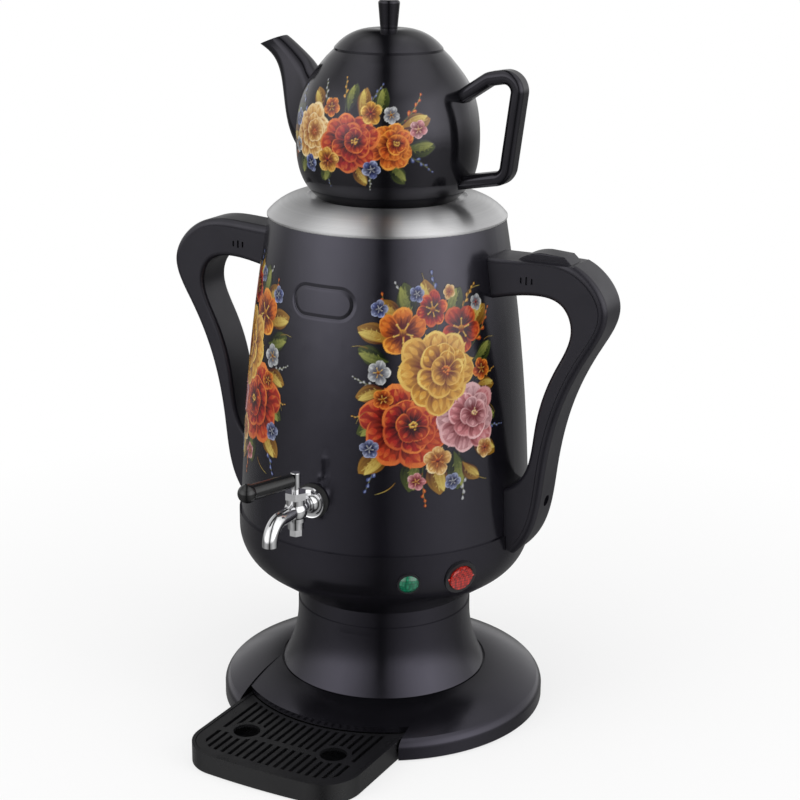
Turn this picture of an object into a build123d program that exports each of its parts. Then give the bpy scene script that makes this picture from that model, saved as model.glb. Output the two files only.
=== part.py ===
from build123d import *
import os
from math import atan2, cos, hypot, radians, sin, sqrt, tan

os.makedirs("parts", exist_ok=True)

# Electric tea maker: a water tank on a pedestal, with a tap, a drip tray and a teapot on its lid.
# Millimetres, +Z up. The origin is on the body's axis at table level. The tap faces -Y.

# Fits shared by all pieces
overrun = 4.0  # how far a cutting shape reaches past what it cuts
seat_gap = 0.1  # between fixed pieces that meet on curved faces
slide_gap = 0.4  # round pieces that slide or lift off
run_gap = 0.05  # round shafts that turn in their holes

# Base
rim_lift = 1.0  # rim above the table
base_radius = 113.0
base_height = 24.5
base_wall = 2.4
skirt_height = 8.0
skirt_round_height = 6.0  # rounded shoulder between skirt and dome
skirt_round_width = 3.5
skirt_round_bulge = 0.75
dome_bulge = 2.2
groove_width = 1.2  # shadow groove round the pedestal's foot
groove_depth = 1.5
base_hole_radius = 30.0
apron_radius = 100.0  # front edge of the dome, over the tray
apron_drop = 2.6  # dome over the tray, lowered at the rim
apron_ceiling = 4.8
boss_radius = 4.0
fixing_ring_radius = 92.0  # feet and base screws stand on this circle
cover_thickness = 2.0
foot_radius = 8.0
foot_stem_radius = 3.0
base_screw_angles = (60, 120, 190, 350)
foot_angles = (25, 155, 205, 335)

# Screws
screw_radius = 1.7
screw_head_radius = 3.4
screw_head_height = 2.2
base_screw_length = 8.0
pedestal_screw_length = 11.0
handle_screw_length = 7.0
cover_screw_length = 12.0

# Drip tray and grille
tray_half_width = 61.5
tray_front = 171.0  # front of the tray to the body's axis
tray_back = 77.0
tray_height = 13.6
tray_wall = 4.0
tray_floor = 1.6
tray_lift = 0.8  # tray floor above the table
tray_front_bulge = 3.5
tray_corner_radius = 26.0
bay_side_gap = 1.2
bay_back_gap = 1.5
rail_height = 2.0
rail_lift = 6.0  # rail above the tray's underside
rail_depth = 1.4  # rail inside the tray's side
grille_thickness = 2.2
grille_ledge = 1.6
grille_border = 5.0
grille_sink = 0.3  # grille below the tray's rim
grille_back_border = 2.5
slot_width = 2.6
slot_pitch = 5.8
slot_count = 18
rib_distance = 134.0  # cross rib to the body's axis
rib_width = 5.0
finger_hole_radius = 9.0
finger_ring_width = 3.0
finger_hole_spacing = 66.6
finger_hole_distance = 128.5

# Pedestal and collar
pedestal_radius = 71.4
neck_radius = 60.5
pedestal_height = 48.0
pedestal_straight = 6.0
pedestal_wall = 2.6
pedestal_plate = 3.0
pedestal_hole_radius = 30.0
pedestal_boss_height = 14.0
pedestal_screw_circle = 60.0
collar_height = 11.3
collar_radius = 59.8
stud_circle = 50.0
stud_radius = 2.5
stud_end = 6.0  # stud below the nut
stud_nut_radius = 5.0
stud_nut_height = 4.0
stud_angles = (30, 150, 270)

# Bowl
bowl_radius = 101.0
bowl_foot_radius = 61.0
bowl_height = 56.7
bowl_corner_height = 28.0
bowl_round = 34.0
bowl_wall = 2.6
bowl_hole_radius = 30.0

# Body shell and tank
body_bottom_radius = 99.5
body_top_radius = 79.0
body_height = 204.0
body_bulge = 3.8
body_wall = 0.8
badge_height = 162.0  # centre of the bare badge field above the body's lower edge
badge_length = 44.0
badge_width = 20.0
badge_rim = 1.4
badge_depth = 0.35
tank_radius = 73.4
tank_wall = 0.8
tank_lift = 10.0  # tank floor above the body's lower edge
tank_round = 6.0
tank_flange_edge = 0.6  # flange inside the body's top edge

# Heater
heater_radius = 42.0
heater_thickness = 4.0
element_ring_radius = 31.0
element_radius = 3.6
element_turn = 310
element_pin_length = 14.0
element_pin_radius = 2.2
thermostat_radius = 9.0
thermostat_height = 9.0
thermostat_flange_radius = 12.0
thermostat_flange = 1.0
fuse_radius = 2.2
fuse_length = 16.0
fuse_lead_radius = 0.6
fuse_lead_length = 6.0
fuse_distance = 19.0
block_length = 34.0
block_width = 16.0
block_height = 14.0
block_distance = 46.0
wire_radius = 1.3
wire_bend = 6.0
wire_drop = 15.0  # heater wire below its pin before it turns

# Lamp, switch and mains inlet, set into the bowl
panel_height = 38.0  # above the bowl's underside
pad_depth = 4.0
pad_margin = 2.5
lamp_angle = 37.6
lamp_bezel_radius = 7.6
lamp_bezel_height = 2.0
lamp_seat = 1.2
lamp_barrel_radius = 5.6
lamp_barrel_length = 16.0
lamp_barrel_wall = 1.0
lamp_lens_radius = 6.4
lamp_lens_dome = 2.2
lamp_lens_flange = 0.8
switch_angle = 58.3
switch_bezel_radius = 11.6
switch_bezel_height = 2.8
switch_seat = 2.0
switch_barrel_radius = 10.0
switch_barrel_length = 20.0
switch_floor = 2.0
rocker_radius = 8.6
rocker_crown = 2.6  # top of the rocker over its pivot
rocker_depth = 4.0
rocker_valley = 1.3
rocker_pin_radius = 1.0
rocker_pin_reach = 0.9
rocker_tilt = 8  # degrees, switched off
pivot_drop = 0.6  # pivot below the bezel's face
inlet_angle = 180
inlet_width = 27.0
inlet_height = 20.0
inlet_depth = 22.0
inlet_flange = 2.5
inlet_flange_height = 2.6
inlet_seat = 1.4
inlet_wall = 1.8
inlet_cavity = 16.0
pin_width = 4.0
pin_thickness = 2.0
pin_length = 11.0
pin_tail = 6.0
pin_spacing = 7.0
pin_offset = 2.0

# Tap
tap_height = 33.5  # above the body's lower edge
tap_gasket_radius = 11.6
tap_gasket_thickness = 1.8
tap_flange_radius = 10.5
tap_flange_thickness = 2.0
tap_cone_length = 4.0
tap_neck_radius = 4.8
tap_shank_radius = 6.0
tap_bore_radius = 3.2
tap_reach = 20.5  # body surface to the plug's axis
tap_ball_radius = 7.6
tap_boss_radius = 6.2
tap_boss_top = 8.2
tap_boss_bottom = 7.0
tap_nut_radius = 9.0
tap_nut_thickness = 5.0
tap_shank_end = 3.0
plug_radius = 3.9
stem_radius = 2.5
stem_top = 25.6
bonnet_radius = 7.4
bonnet_height = 4.7
bottom_washer_radius = 5.2
bottom_washer_height = 5.0
bottom_nut_radius = 4.4
bottom_nut_height = 4.6
spout_radius = 4.9
spout_bore_radius = 3.4
spout_reach = 31.0  # plug's axis to the outlet
spout_drop = 14.0
spout_bend = 13.0
spout_socket = 2.6
lever_angle = 18  # degrees from the front towards -X
lever_rod_radius = 2.0
lever_hub_radius = 3.1
lever_hub_height = 9.5
lever_hub_round = 0.6
grip_start = 4.2
grip_length = 35.0
grip_neck_radius = 4.6
grip_radius = 5.3
grip_ball_radius = 6.1
grip_socket = 24.0

# Handles
handle_width = 30.0
handle_reach = 75.5  # furthest stand-off from the body's surface
handle_low = 13.0  # lower end under the body's lower edge
handle_short = 2.0  # handle shorter than the body
handle_crown = 5.0
handle_seam_inset = 3.5  # seam of the cover inside the handle's drawn outer line
handle_seam_step = 0.6  # cover's faces inside the shell's faces
handle_wall = 2.6
handle_foot_wall = 7.0
handle_edge_round = 4.0
handle_inner_round = 3.0
handle_root = 3.0  # handle drawn this far inside the body, then cut to fit it
outer_reach_shares = (0.364, 0.804, 1.0, 0.795, 0.5, 0.338, 0.193, 0.05)
outer_height_shares = (1.0, 0.978, 0.856, 0.708, 0.51, 0.297, 0.079, 0.007)
inner_reach_shares = (0.394, 0.623, 0.682, 0.514, 0.287, 0.121)
inner_height_shares = (0.883, 0.859, 0.802, 0.655, 0.446, 0.262)
outer_foot_share = 0.992
inner_foot_share = 0.856
lower_foot_share = 0.223
upper_screw_share = 0.92
lower_screw_share = 0.13
cover_screw_share = 0.185
cover_recess = 3.0  # screw seat below the handle's crown
vent_length = 5.5
vent_width = 1.4
vent_depth = 1.2
vent_pitch = 3.8
vent_reach = 25.0
vent_height_share = 0.93

# Thumb slide on the right handle
latch_deck_drop = 2.0  # flat deck below the handle's crown
latch_deck_length = 58.0
latch_bar_width = 8.0
latch_bar_height = 1.8
latch_bar_drop = 5.2  # bar below the deck
latch_keel_start = 8.0  # keel inside the button's ends
latch_keel_end = 12.0
latch_keel_width = 6.0
latch_travel = 5.0
latch_start = 18.0  # button's inner end to the body's surface
latch_length = 36.5
latch_width = 17.0
latch_height = 5.5
latch_ramp = 17.0
latch_step = 5.0  # run of the button's blunt outer end
latch_fall = 1.0
latch_edge_round = 0.8
latch_ridge_count = 3
latch_ridge_pitch = 1.3
latch_ridge_width = 0.6
latch_ridge_depth = 0.4
latch_tip_gap = 0.8
latch_slot_gap = 0.6

# Tank lid
lid_radius = 79.8
lid_rise = 12.4
lid_bulge = 3.0
lid_sheet = 1.0
lid_seat_radius = 53.0
lid_lip_width = 1.5
lid_lip_height = 1.5
lid_hole_radius = 18.0
lid_skirt_gap = 1.2
lid_skirt_wall = 1.0
lid_skirt_depth = 22.0
seal_lift = 12.0  # seal above the skirt's lower edge
seal_height = 3.0
seal_gap = 0.3

# Teapot
pot_radius = 60.3
pot_foot_radius = 46.0
pot_mouth_radius = 30.0
pot_shoulder_radius = 36.0
pot_height = 95.3
pot_wall = 4.0
pot_radius_shares = (0.929, 1.0, 0.968, 0.839, 0.69)
pot_height_shares = (0.13, 0.36, 0.62, 0.82, 0.94)
pot_foot_slope_shares = (1, 0.8)
pot_shoulder_slope_shares = (-1, 0.95)
pot_handle_width = 14.0
pot_handle_thickness = 9.0
pot_handle_round = 3.6
pot_handle_bend = 9.0
pot_handle_reach = 95.2
pot_handle_reach_shares = (0.525, 0.772, 1.0, 0.911, 0.525)
pot_handle_height_shares = (0.695, 0.857, 0.898, 0.211, 0.14)
pot_spout_reach = 87.3
pot_spout_half_height = 26.0
pot_spout_half_width = 15.0
pot_spout_reach_shares = (0.504, 0.685, 0.756, 0.806, 0.879, 1.0)
pot_spout_level_shares = (0.465, 0.565, 0.70, 0.841, 0.937, 1.019)
pot_spout_height_shares = (1.0, 0.97, 0.727, 0.46, 0.35, 0.36)
pot_spout_width_shares = (1.0, 0.9, 0.72, 0.6, 0.53, 0.53)
pot_spout_tilts = (14, 17, 29, 49, 57, 69)
pot_spout_wall = 3.2
pot_spout_round_share = 0.9  # corner radius over the half width
pot_lid_radius = 35.4
pot_lid_edge = 1.6
pot_lid_rise = 12.0
pot_lid_bulge = 4.2
pot_lid_plug = 6.0
pot_lid_wall = 3.0
knob_foot_radius = 5.6
knob_top_radius = 7.2
knob_height = 18.0
knob_round = 1.8

# Heights of the stack, from the table up
base_top = rim_lift + base_height
pedestal_bottom = base_top - groove_depth
pedestal_top = pedestal_bottom + pedestal_height
bowl_bottom = pedestal_top + collar_height
bowl_floor = bowl_bottom + bowl_wall
bowl_top = bowl_bottom + bowl_height
body_top = bowl_top + body_height
tank_bottom = bowl_top + tank_lift
heater_bottom = tank_bottom - heater_thickness
tank_top = body_top + tank_wall
tray_top = tray_lift + tray_height
bay_half_width = tray_half_width + bay_side_gap
bay_back = tray_back - bay_back_gap
bay_top = tray_top + slide_gap
tap_level = bowl_top + tap_height
panel_level = bowl_bottom + panel_height
handle_bottom = bowl_top - handle_low
handle_height = body_height - handle_short
lid_top = tank_top + lid_sheet + lid_rise
seat_level = lid_top - lid_lip_height
pot_top = seat_level + pot_height


# Radius of the body shell's outside at a height
def body_radius_at(level):
    run = body_top_radius - body_bottom_radius
    chord = hypot(run, body_height)
    arc = (chord**2 / 4 + body_bulge**2) / (2 * body_bulge)
    centre_radius = (body_top_radius + body_bottom_radius) / 2 - (arc - body_bulge) * body_height / chord
    centre_level = bowl_top + body_height / 2 + (arc - body_bulge) * run / chord
    return centre_radius + sqrt(arc**2 - (level - centre_level) ** 2)


# Plane on the bowl's rounded side, facing outwards, turned from the front towards +X
def bowl_plane(turn):
    slope = atan2(bowl_corner_height, bowl_foot_radius - bowl_radius)
    tangent_level = bowl_bottom + bowl_corner_height + bowl_round * tan((slope - radians(90)) / 2)
    dip = (tangent_level - panel_level) / bowl_round
    lean = sqrt(1 - dip**2)
    radius = bowl_radius - bowl_round * (1 - lean)
    side = sin(radians(turn))
    front = cos(radians(turn))
    return Plane(
        origin=(radius * side, -radius * front, panel_level),
        x_dir=(front, side, 0),
        z_dir=(lean * side, -lean * front, -dip),
    )


# Outline of the dome from the rim to the axis, drawn in by a wall
def dome_line(wall, top):
    rim = base_radius - wall
    shoulder = pedestal_radius + groove_width
    skirt_end = (rim, rim_lift + skirt_height - wall)
    dome_start = (rim - skirt_round_width, rim_lift + skirt_height + skirt_round_height - wall)
    Line((0, rim_lift), (rim, rim_lift))
    Line((rim, rim_lift), skirt_end)
    SagittaArc(skirt_end, dome_start, -skirt_round_bulge)
    SagittaArc(dome_start, (shoulder, top), -dome_bulge)
    Line((shoulder, top), (0, top))
    Line((0, top), (0, rim_lift))


# Base shell: domed skirt with a bay for the tray
with BuildPart() as base_ribs:
    with BuildSketch(Plane.XY.offset(rim_lift)):
        for side in (-1, 1):
            with Locations((side * (bay_half_width + base_wall / 2), -bay_back - tray_front / 2)):
                Rectangle(base_wall, tray_front)
    extrude(amount=base_height)
    with BuildSketch(Plane.XY.offset(rim_lift)):
        with Locations((0, -bay_back + base_wall - tray_front / 2)):
            Rectangle(2 * (bay_half_width + base_wall), tray_front)
    extrude(amount=bay_top + apron_ceiling - rim_lift)
    with BuildSketch(Plane.XY.offset(rim_lift + cover_thickness)):
        for angle in base_screw_angles:
            with PolarLocations(fixing_ring_radius, 1, start_angle=angle):
                Circle(boss_radius)
    extrude(amount=base_height)
    with BuildSketch(Plane.XZ):
        with BuildLine():
            dome_line(base_wall / 2, base_top - groove_depth - base_wall / 2)
        make_face()
    revolve(axis=Axis.Z, mode=Mode.INTERSECT)

with BuildPart() as apron_step:
    with BuildSketch(Plane.XZ):
        with BuildLine():
            shoulder_point = (pedestal_radius + groove_width, base_top)
            rim_point = (base_radius, rim_lift + skirt_height + skirt_round_height - apron_drop)
            SagittaArc(rim_point, shoulder_point, -dome_bulge)
            outside = base_radius + overrun
            Polyline(shoulder_point, (outside, base_top), (outside, rim_lift), rim_point)
        make_face()
    revolve(axis=Axis.Z)
    with BuildSketch(Plane.XY):
        with Locations((0, -tray_front / 2)):
            Rectangle(2 * bay_half_width, tray_front)
    extrude(amount=base_top + overrun, mode=Mode.INTERSECT)

with BuildPart() as base_shell:
    with BuildSketch(Plane.XZ):
        with BuildLine():
            dome_line(0, base_top)
        make_face()
        with BuildLine():
            dome_line(base_wall, pedestal_bottom - base_wall)
        make_face(mode=Mode.SUBTRACT)
    revolve(axis=Axis.Z)
    with BuildSketch(Plane.XY.offset(pedestal_bottom)):
        Circle(pedestal_radius + groove_width)
    extrude(amount=groove_depth + overrun, mode=Mode.SUBTRACT)
    with BuildSketch(Plane.XY.offset(base_top)):
        Circle(base_hole_radius)
    extrude(amount=-base_height + cover_thickness, mode=Mode.SUBTRACT)
    add(base_ribs.part)
    with BuildSketch(Plane.XY):
        with Locations((0, -tray_front / 2)):
            Rectangle(2 * bay_half_width, tray_front)
        Circle(apron_radius, mode=Mode.SUBTRACT)
    extrude(amount=base_top + overrun, mode=Mode.SUBTRACT)
    with BuildSketch(Plane.XY):
        with Locations((0, -bay_back - tray_front / 2)):
            Rectangle(2 * bay_half_width, tray_front)
    extrude(amount=bay_top, mode=Mode.SUBTRACT)
    add(apron_step.part, mode=Mode.SUBTRACT)
    for side in (-1, 1):
        rail_reach = bay_side_gap + rail_depth - slide_gap
        with BuildSketch(Plane.XZ.offset(bay_back)):
            with Locations((side * (bay_half_width - rail_reach / 2), tray_lift + rail_lift + rail_height / 2)):
                Rectangle(rail_reach, rail_height)
        extrude(amount=sqrt(base_radius**2 - bay_half_width**2) - bay_back - base_wall)
    with BuildSketch(Plane.XY):
        with PolarLocations(pedestal_screw_circle, len(stud_angles), start_angle=stud_angles[0]):
            Circle(screw_radius + seat_gap)
    extrude(amount=base_top, mode=Mode.SUBTRACT)
    with BuildSketch(Plane.XY.offset(rim_lift)):
        for angle in base_screw_angles:
            with PolarLocations(fixing_ring_radius, 1, start_angle=angle):
                Circle(screw_radius + seat_gap)
    extrude(amount=cover_thickness + base_screw_length, mode=Mode.SUBTRACT)

# Base cover: plate under the base, cut away round the tray's bay
with BuildPart() as base_cover:
    with BuildSketch(Plane.XY.offset(rim_lift)):
        Circle(base_radius - base_wall - seat_gap)
        bay_edge = bay_half_width + base_wall + seat_gap
        with Locations((0, -bay_back + base_wall + seat_gap - tray_front / 2)):
            Rectangle(2 * bay_edge, tray_front, mode=Mode.SUBTRACT)
        for angle in base_screw_angles:
            with PolarLocations(fixing_ring_radius, 1, start_angle=angle):
                Circle(screw_radius + seat_gap, mode=Mode.SUBTRACT)
        for angle in foot_angles:
            with PolarLocations(fixing_ring_radius, 1, start_angle=angle):
                Circle(foot_stem_radius + seat_gap, mode=Mode.SUBTRACT)
    extrude(amount=cover_thickness)

with BuildPart() as rubber_feet:
    with BuildSketch(Plane.XY):
        for angle in foot_angles:
            with PolarLocations(fixing_ring_radius, 1, start_angle=angle):
                Circle(foot_radius)
    extrude(amount=rim_lift)
    with BuildSketch(Plane.XY.offset(rim_lift)):
        for angle in foot_angles:
            with PolarLocations(fixing_ring_radius, 1, start_angle=angle):
                Circle(foot_stem_radius)
    extrude(amount=cover_thickness)

base_screw_head = rim_lift / 2
with BuildPart() as base_screws:
    with BuildSketch(Plane.XY.offset(rim_lift)):
        for angle in base_screw_angles:
            with PolarLocations(fixing_ring_radius, 1, start_angle=angle):
                Circle(screw_head_radius)
    extrude(amount=-base_screw_head)
    with BuildSketch(Plane.XY.offset(rim_lift)):
        for angle in base_screw_angles:
            with PolarLocations(fixing_ring_radius, 1, start_angle=angle):
                Circle(screw_radius)
    extrude(amount=cover_thickness + base_screw_length - seat_gap)

# Pedestal: flared neck with a plate at its top
def pedestal_line(wall, top):
    foot = pedestal_radius - wall
    neck = neck_radius - wall
    flare_top = pedestal_top - pedestal_straight
    Line((0, pedestal_bottom), (foot, pedestal_bottom))
    Line((foot, pedestal_bottom), (foot, base_top))
    TangentArc((neck, flare_top), (foot, base_top), tangent=(0, -1))
    Line((neck, flare_top), (neck, top))
    Line((neck, top), (0, top))
    Line((0, top), (0, pedestal_bottom))


with BuildPart() as pedestal:
    with BuildSketch(Plane.XZ):
        with BuildLine():
            pedestal_line(0, pedestal_top)
        make_face()
        with BuildLine():
            pedestal_line(pedestal_wall, pedestal_top - pedestal_plate)
        make_face(mode=Mode.SUBTRACT)
    revolve(axis=Axis.Z)
    with BuildSketch(Plane.XY.offset(pedestal_bottom)):
        with PolarLocations(pedestal_screw_circle, len(stud_angles), start_angle=stud_angles[0]):
            Circle(boss_radius)
    extrude(amount=pedestal_boss_height)
    with BuildSketch(Plane.XY.offset(pedestal_bottom)):
        with PolarLocations(pedestal_screw_circle, len(stud_angles), start_angle=stud_angles[0]):
            Circle(screw_radius + seat_gap)
    extrude(amount=pedestal_screw_length, mode=Mode.SUBTRACT)
    with BuildSketch(Plane.XY.offset(pedestal_top)):
        Circle(pedestal_hole_radius)
        with PolarLocations(stud_circle, len(stud_angles), start_angle=stud_angles[0]):
            Circle(stud_radius + seat_gap)
    extrude(amount=-pedestal_plate, mode=Mode.SUBTRACT)

with BuildPart() as pedestal_screws:
    with BuildSketch(Plane.XY.offset(pedestal_bottom - base_wall)):
        with PolarLocations(pedestal_screw_circle, len(stud_angles), start_angle=stud_angles[0]):
            Circle(screw_head_radius)
    extrude(amount=-screw_head_height)
    with BuildSketch(Plane.XY.offset(pedestal_bottom - base_wall)):
        with PolarLocations(pedestal_screw_circle, len(stud_angles), start_angle=stud_angles[0]):
            Circle(screw_radius)
    extrude(amount=base_wall + pedestal_screw_length - seat_gap)

with BuildPart() as neck_collar:
    with BuildSketch(Plane.XY.offset(pedestal_top)):
        Circle(collar_radius)
        Circle(collar_radius - pedestal_wall, mode=Mode.SUBTRACT)
    extrude(amount=collar_height)

# Bowl: housing for the heater and the mains parts, open at the top
lamp_plane = bowl_plane(lamp_angle)
switch_plane = bowl_plane(switch_angle)
inlet_plane = bowl_plane(inlet_angle)

with BuildPart() as bowl_outside:
    with BuildSketch(Plane.XZ):
        with BuildLine():
            corner_level = bowl_bottom + bowl_corner_height
            FilletPolyline(
                (bowl_foot_radius, bowl_bottom),
                (bowl_radius, corner_level),
                (bowl_radius, bowl_top),
                radius=bowl_round,
            )
            Polyline(
                (bowl_radius, bowl_top), (0, bowl_top), (0, bowl_bottom), (bowl_foot_radius, bowl_bottom)
            )
        make_face()
    revolve(axis=Axis.Z)

with BuildPart() as bowl_pads:
    with BuildSketch(lamp_plane.offset(-bowl_wall - pad_depth)):
        Circle(lamp_bezel_radius + pad_margin)
    extrude(amount=bowl_wall + pad_depth)
    with BuildSketch(switch_plane.offset(-bowl_wall - pad_depth)):
        Circle(switch_bezel_radius + pad_margin)
    extrude(amount=bowl_wall + pad_depth)
    with BuildSketch(inlet_plane.offset(-bowl_wall - pad_depth)):
        pad_grow = 2 * (inlet_flange + pad_margin)
        Rectangle(inlet_width + pad_grow, inlet_height + pad_grow)
    extrude(amount=bowl_wall + pad_depth)
    add(bowl_outside.part, mode=Mode.INTERSECT)

with BuildPart() as bowl:
    with BuildSketch(Plane.XZ):
        with BuildLine():
            FilletPolyline(
                (bowl_foot_radius, bowl_bottom),
                (bowl_radius, corner_level),
                (bowl_radius, bowl_top),
                radius=bowl_round,
            )
            offset(amount=bowl_wall, side=Side.LEFT)
        make_face()
    revolve(axis=Axis.Z)
    with BuildSketch(Plane.XY.offset(bowl_bottom)):
        Circle(bowl_foot_radius)
    extrude(amount=bowl_wall)
    add(bowl_pads.part)
    with BuildSketch(Plane.XY.offset(bowl_bottom)):
        Circle(bowl_hole_radius)
        with PolarLocations(stud_circle, len(stud_angles), start_angle=stud_angles[0]):
            Circle(stud_radius + seat_gap)
    extrude(amount=bowl_wall, mode=Mode.SUBTRACT)
    for place, bezel, barrel, seat in (
        (lamp_plane, lamp_bezel_radius, lamp_barrel_radius, lamp_seat),
        (switch_plane, switch_bezel_radius, switch_barrel_radius, switch_seat),
    ):
        with BuildSketch(place.offset(-seat)):
            Circle(bezel + seat_gap)
        extrude(amount=seat + overrun, mode=Mode.SUBTRACT)
        with BuildSketch(place):
            Circle(barrel + seat_gap)
        extrude(amount=-bowl_wall - pad_depth - overrun, mode=Mode.SUBTRACT)
    with BuildSketch(inlet_plane.offset(-inlet_seat)):
        Rectangle(inlet_width + 2 * (inlet_flange + seat_gap), inlet_height + 2 * (inlet_flange + seat_gap))
    extrude(amount=inlet_seat + overrun, mode=Mode.SUBTRACT)
    with BuildSketch(inlet_plane):
        Rectangle(inlet_width + 2 * seat_gap, inlet_height + 2 * seat_gap)
    extrude(amount=-bowl_wall - pad_depth - overrun, mode=Mode.SUBTRACT)

# Lamp: holder with a bezel, and a domed lens
with BuildPart() as lamp_holder:
    with BuildSketch(lamp_plane.offset(-lamp_seat)):
        Circle(lamp_bezel_radius)
        Circle(lamp_lens_radius + seat_gap, mode=Mode.SUBTRACT)
    extrude(amount=lamp_bezel_height)
    with BuildSketch(lamp_plane.offset(-lamp_seat)):
        Circle(lamp_bezel_radius)
        Circle(lamp_barrel_radius - lamp_barrel_wall, mode=Mode.SUBTRACT)
    extrude(amount=lamp_lens_flange)
    with BuildSketch(lamp_plane.offset(-lamp_seat)):
        Circle(lamp_barrel_radius)
        Circle(lamp_barrel_radius - lamp_barrel_wall, mode=Mode.SUBTRACT)
    extrude(amount=-lamp_barrel_length)

lens_plane = lamp_plane.offset(lamp_lens_flange - lamp_seat)
with BuildPart() as lamp_lens:
    with BuildSketch(lens_plane):
        Circle(lamp_lens_radius)
    extrude(amount=lamp_bezel_height - lamp_lens_flange)
    dome_plane = lens_plane.offset(lamp_bezel_height - lamp_lens_flange)
    with BuildSketch(Plane(dome_plane.origin, x_dir=dome_plane.x_dir, z_dir=dome_plane.y_dir)):
        with BuildLine():
            ThreePointArc(
                (lamp_lens_radius, 0),
                (lamp_lens_radius * cos(radians(45)), -lamp_lens_dome * sin(radians(45))),
                (0, -lamp_lens_dome),
            )
            Polyline((0, -lamp_lens_dome), (0, 0), (lamp_lens_radius, 0))
        make_face()
    revolve(axis=Axis(dome_plane.origin, dome_plane.z_dir))

# Rocker switch: round housing with a bezel, and a rocker on two pins
pivot_plane = switch_plane.offset(switch_bezel_height - switch_seat - pivot_drop)
pin_axis = Plane(pivot_plane.origin, x_dir=pivot_plane.y_dir, z_dir=pivot_plane.x_dir)
socket_radius = rocker_radius + slide_gap
with BuildPart() as switch_housing:
    with BuildSketch(switch_plane.offset(-switch_seat)):
        Circle(switch_bezel_radius)
    extrude(amount=switch_bezel_height)
    with BuildSketch(switch_plane.offset(-switch_seat)):
        Circle(switch_barrel_radius)
    extrude(amount=-switch_barrel_length)
    with BuildSketch(switch_plane.offset(switch_floor - switch_seat - switch_barrel_length)):
        Circle(socket_radius)
    extrude(amount=switch_barrel_length + switch_bezel_height, mode=Mode.SUBTRACT)
    with BuildSketch(pin_axis):
        Circle(rocker_pin_radius + run_gap)
    extrude(amount=socket_radius + rocker_pin_reach, both=True, mode=Mode.SUBTRACT)

rocker_top = pivot_plane.rotated((rocker_tilt, 0, 0))
with BuildPart() as switch_rocker:
    with Locations(rocker_top):
        Sphere(rocker_radius)
    rocker_side = Plane(rocker_top.origin, x_dir=rocker_top.y_dir, z_dir=rocker_top.x_dir)
    with BuildSketch(rocker_side):
        with BuildLine():
            Polyline(
                (-rocker_radius, rocker_crown),
                (0, rocker_crown - rocker_valley),
                (rocker_radius, rocker_crown),
                (rocker_radius, -rocker_depth),
                (-rocker_radius, -rocker_depth),
                close=True,
            )
        make_face()
    extrude(amount=rocker_radius, both=True, mode=Mode.INTERSECT)
    with BuildSketch(pin_axis):
        Circle(rocker_pin_radius)
    extrude(amount=socket_radius + rocker_pin_reach - run_gap, both=True)

# Mains inlet at the back of the bowl
with BuildPart() as mains_inlet:
    with BuildSketch(inlet_plane.offset(-inlet_seat)):
        Rectangle(inlet_width + 2 * inlet_flange, inlet_height + 2 * inlet_flange)
    extrude(amount=inlet_flange_height)
    with BuildSketch(inlet_plane.offset(-inlet_seat)):
        Rectangle(inlet_width, inlet_height)
    extrude(amount=-inlet_depth)
    mouth_plane = inlet_plane.offset(inlet_flange_height - inlet_seat)
    with BuildSketch(mouth_plane):
        Rectangle(inlet_width - 2 * inlet_wall, inlet_height - 2 * inlet_wall)
    extrude(amount=-inlet_cavity, mode=Mode.SUBTRACT)
    with BuildSketch(mouth_plane):
        with Locations((-pin_spacing, pin_offset), (pin_spacing, pin_offset), (0, -pin_offset)):
            Rectangle(pin_thickness + 2 * seat_gap, pin_width + 2 * seat_gap)
    extrude(amount=-inlet_depth - inlet_flange_height, mode=Mode.SUBTRACT)

with BuildPart() as inlet_pins:
    with BuildSketch(mouth_plane.offset(pin_length - inlet_cavity)):
        with Locations((-pin_spacing, pin_offset), (pin_spacing, pin_offset), (0, -pin_offset)):
            Rectangle(pin_thickness, pin_width)
    extrude(amount=inlet_cavity - pin_length - inlet_depth - inlet_flange_height - pin_tail)

# Body shell with its tap hole, latch slot and the bare badge field
seam_level = handle_bottom + handle_height * outer_foot_share - handle_seam_inset
deck_level = seam_level + handle_crown - latch_deck_drop
bar_level = deck_level - latch_bar_drop
tap_plane = Plane((0, 0, tap_level), x_dir=(1, 0, 0), z_dir=(0, -1, 0))
slot_plane = Plane((0, 0, bar_level + latch_bar_height / 2), x_dir=(0, 1, 0), z_dir=(1, 0, 0))
badge_plane = Plane((0, 0, bowl_top + badge_height), x_dir=(1, 0, 0), z_dir=(0, -1, 0))

with BuildPart() as badge_field:
    with BuildSketch(Plane.XZ):
        with BuildLine():
            SagittaArc((body_bottom_radius, bowl_top), (body_top_radius, body_top), -body_bulge)
            offset(amount=badge_depth, side=Side.LEFT)
        make_face()
    revolve(axis=Axis.Z)
    with BuildSketch(badge_plane):
        SlotOverall(badge_length, badge_width)
        SlotOverall(badge_length - 2 * badge_rim, badge_width - 2 * badge_rim, mode=Mode.SUBTRACT)
    extrude(amount=body_bottom_radius + overrun, mode=Mode.INTERSECT)

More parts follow.
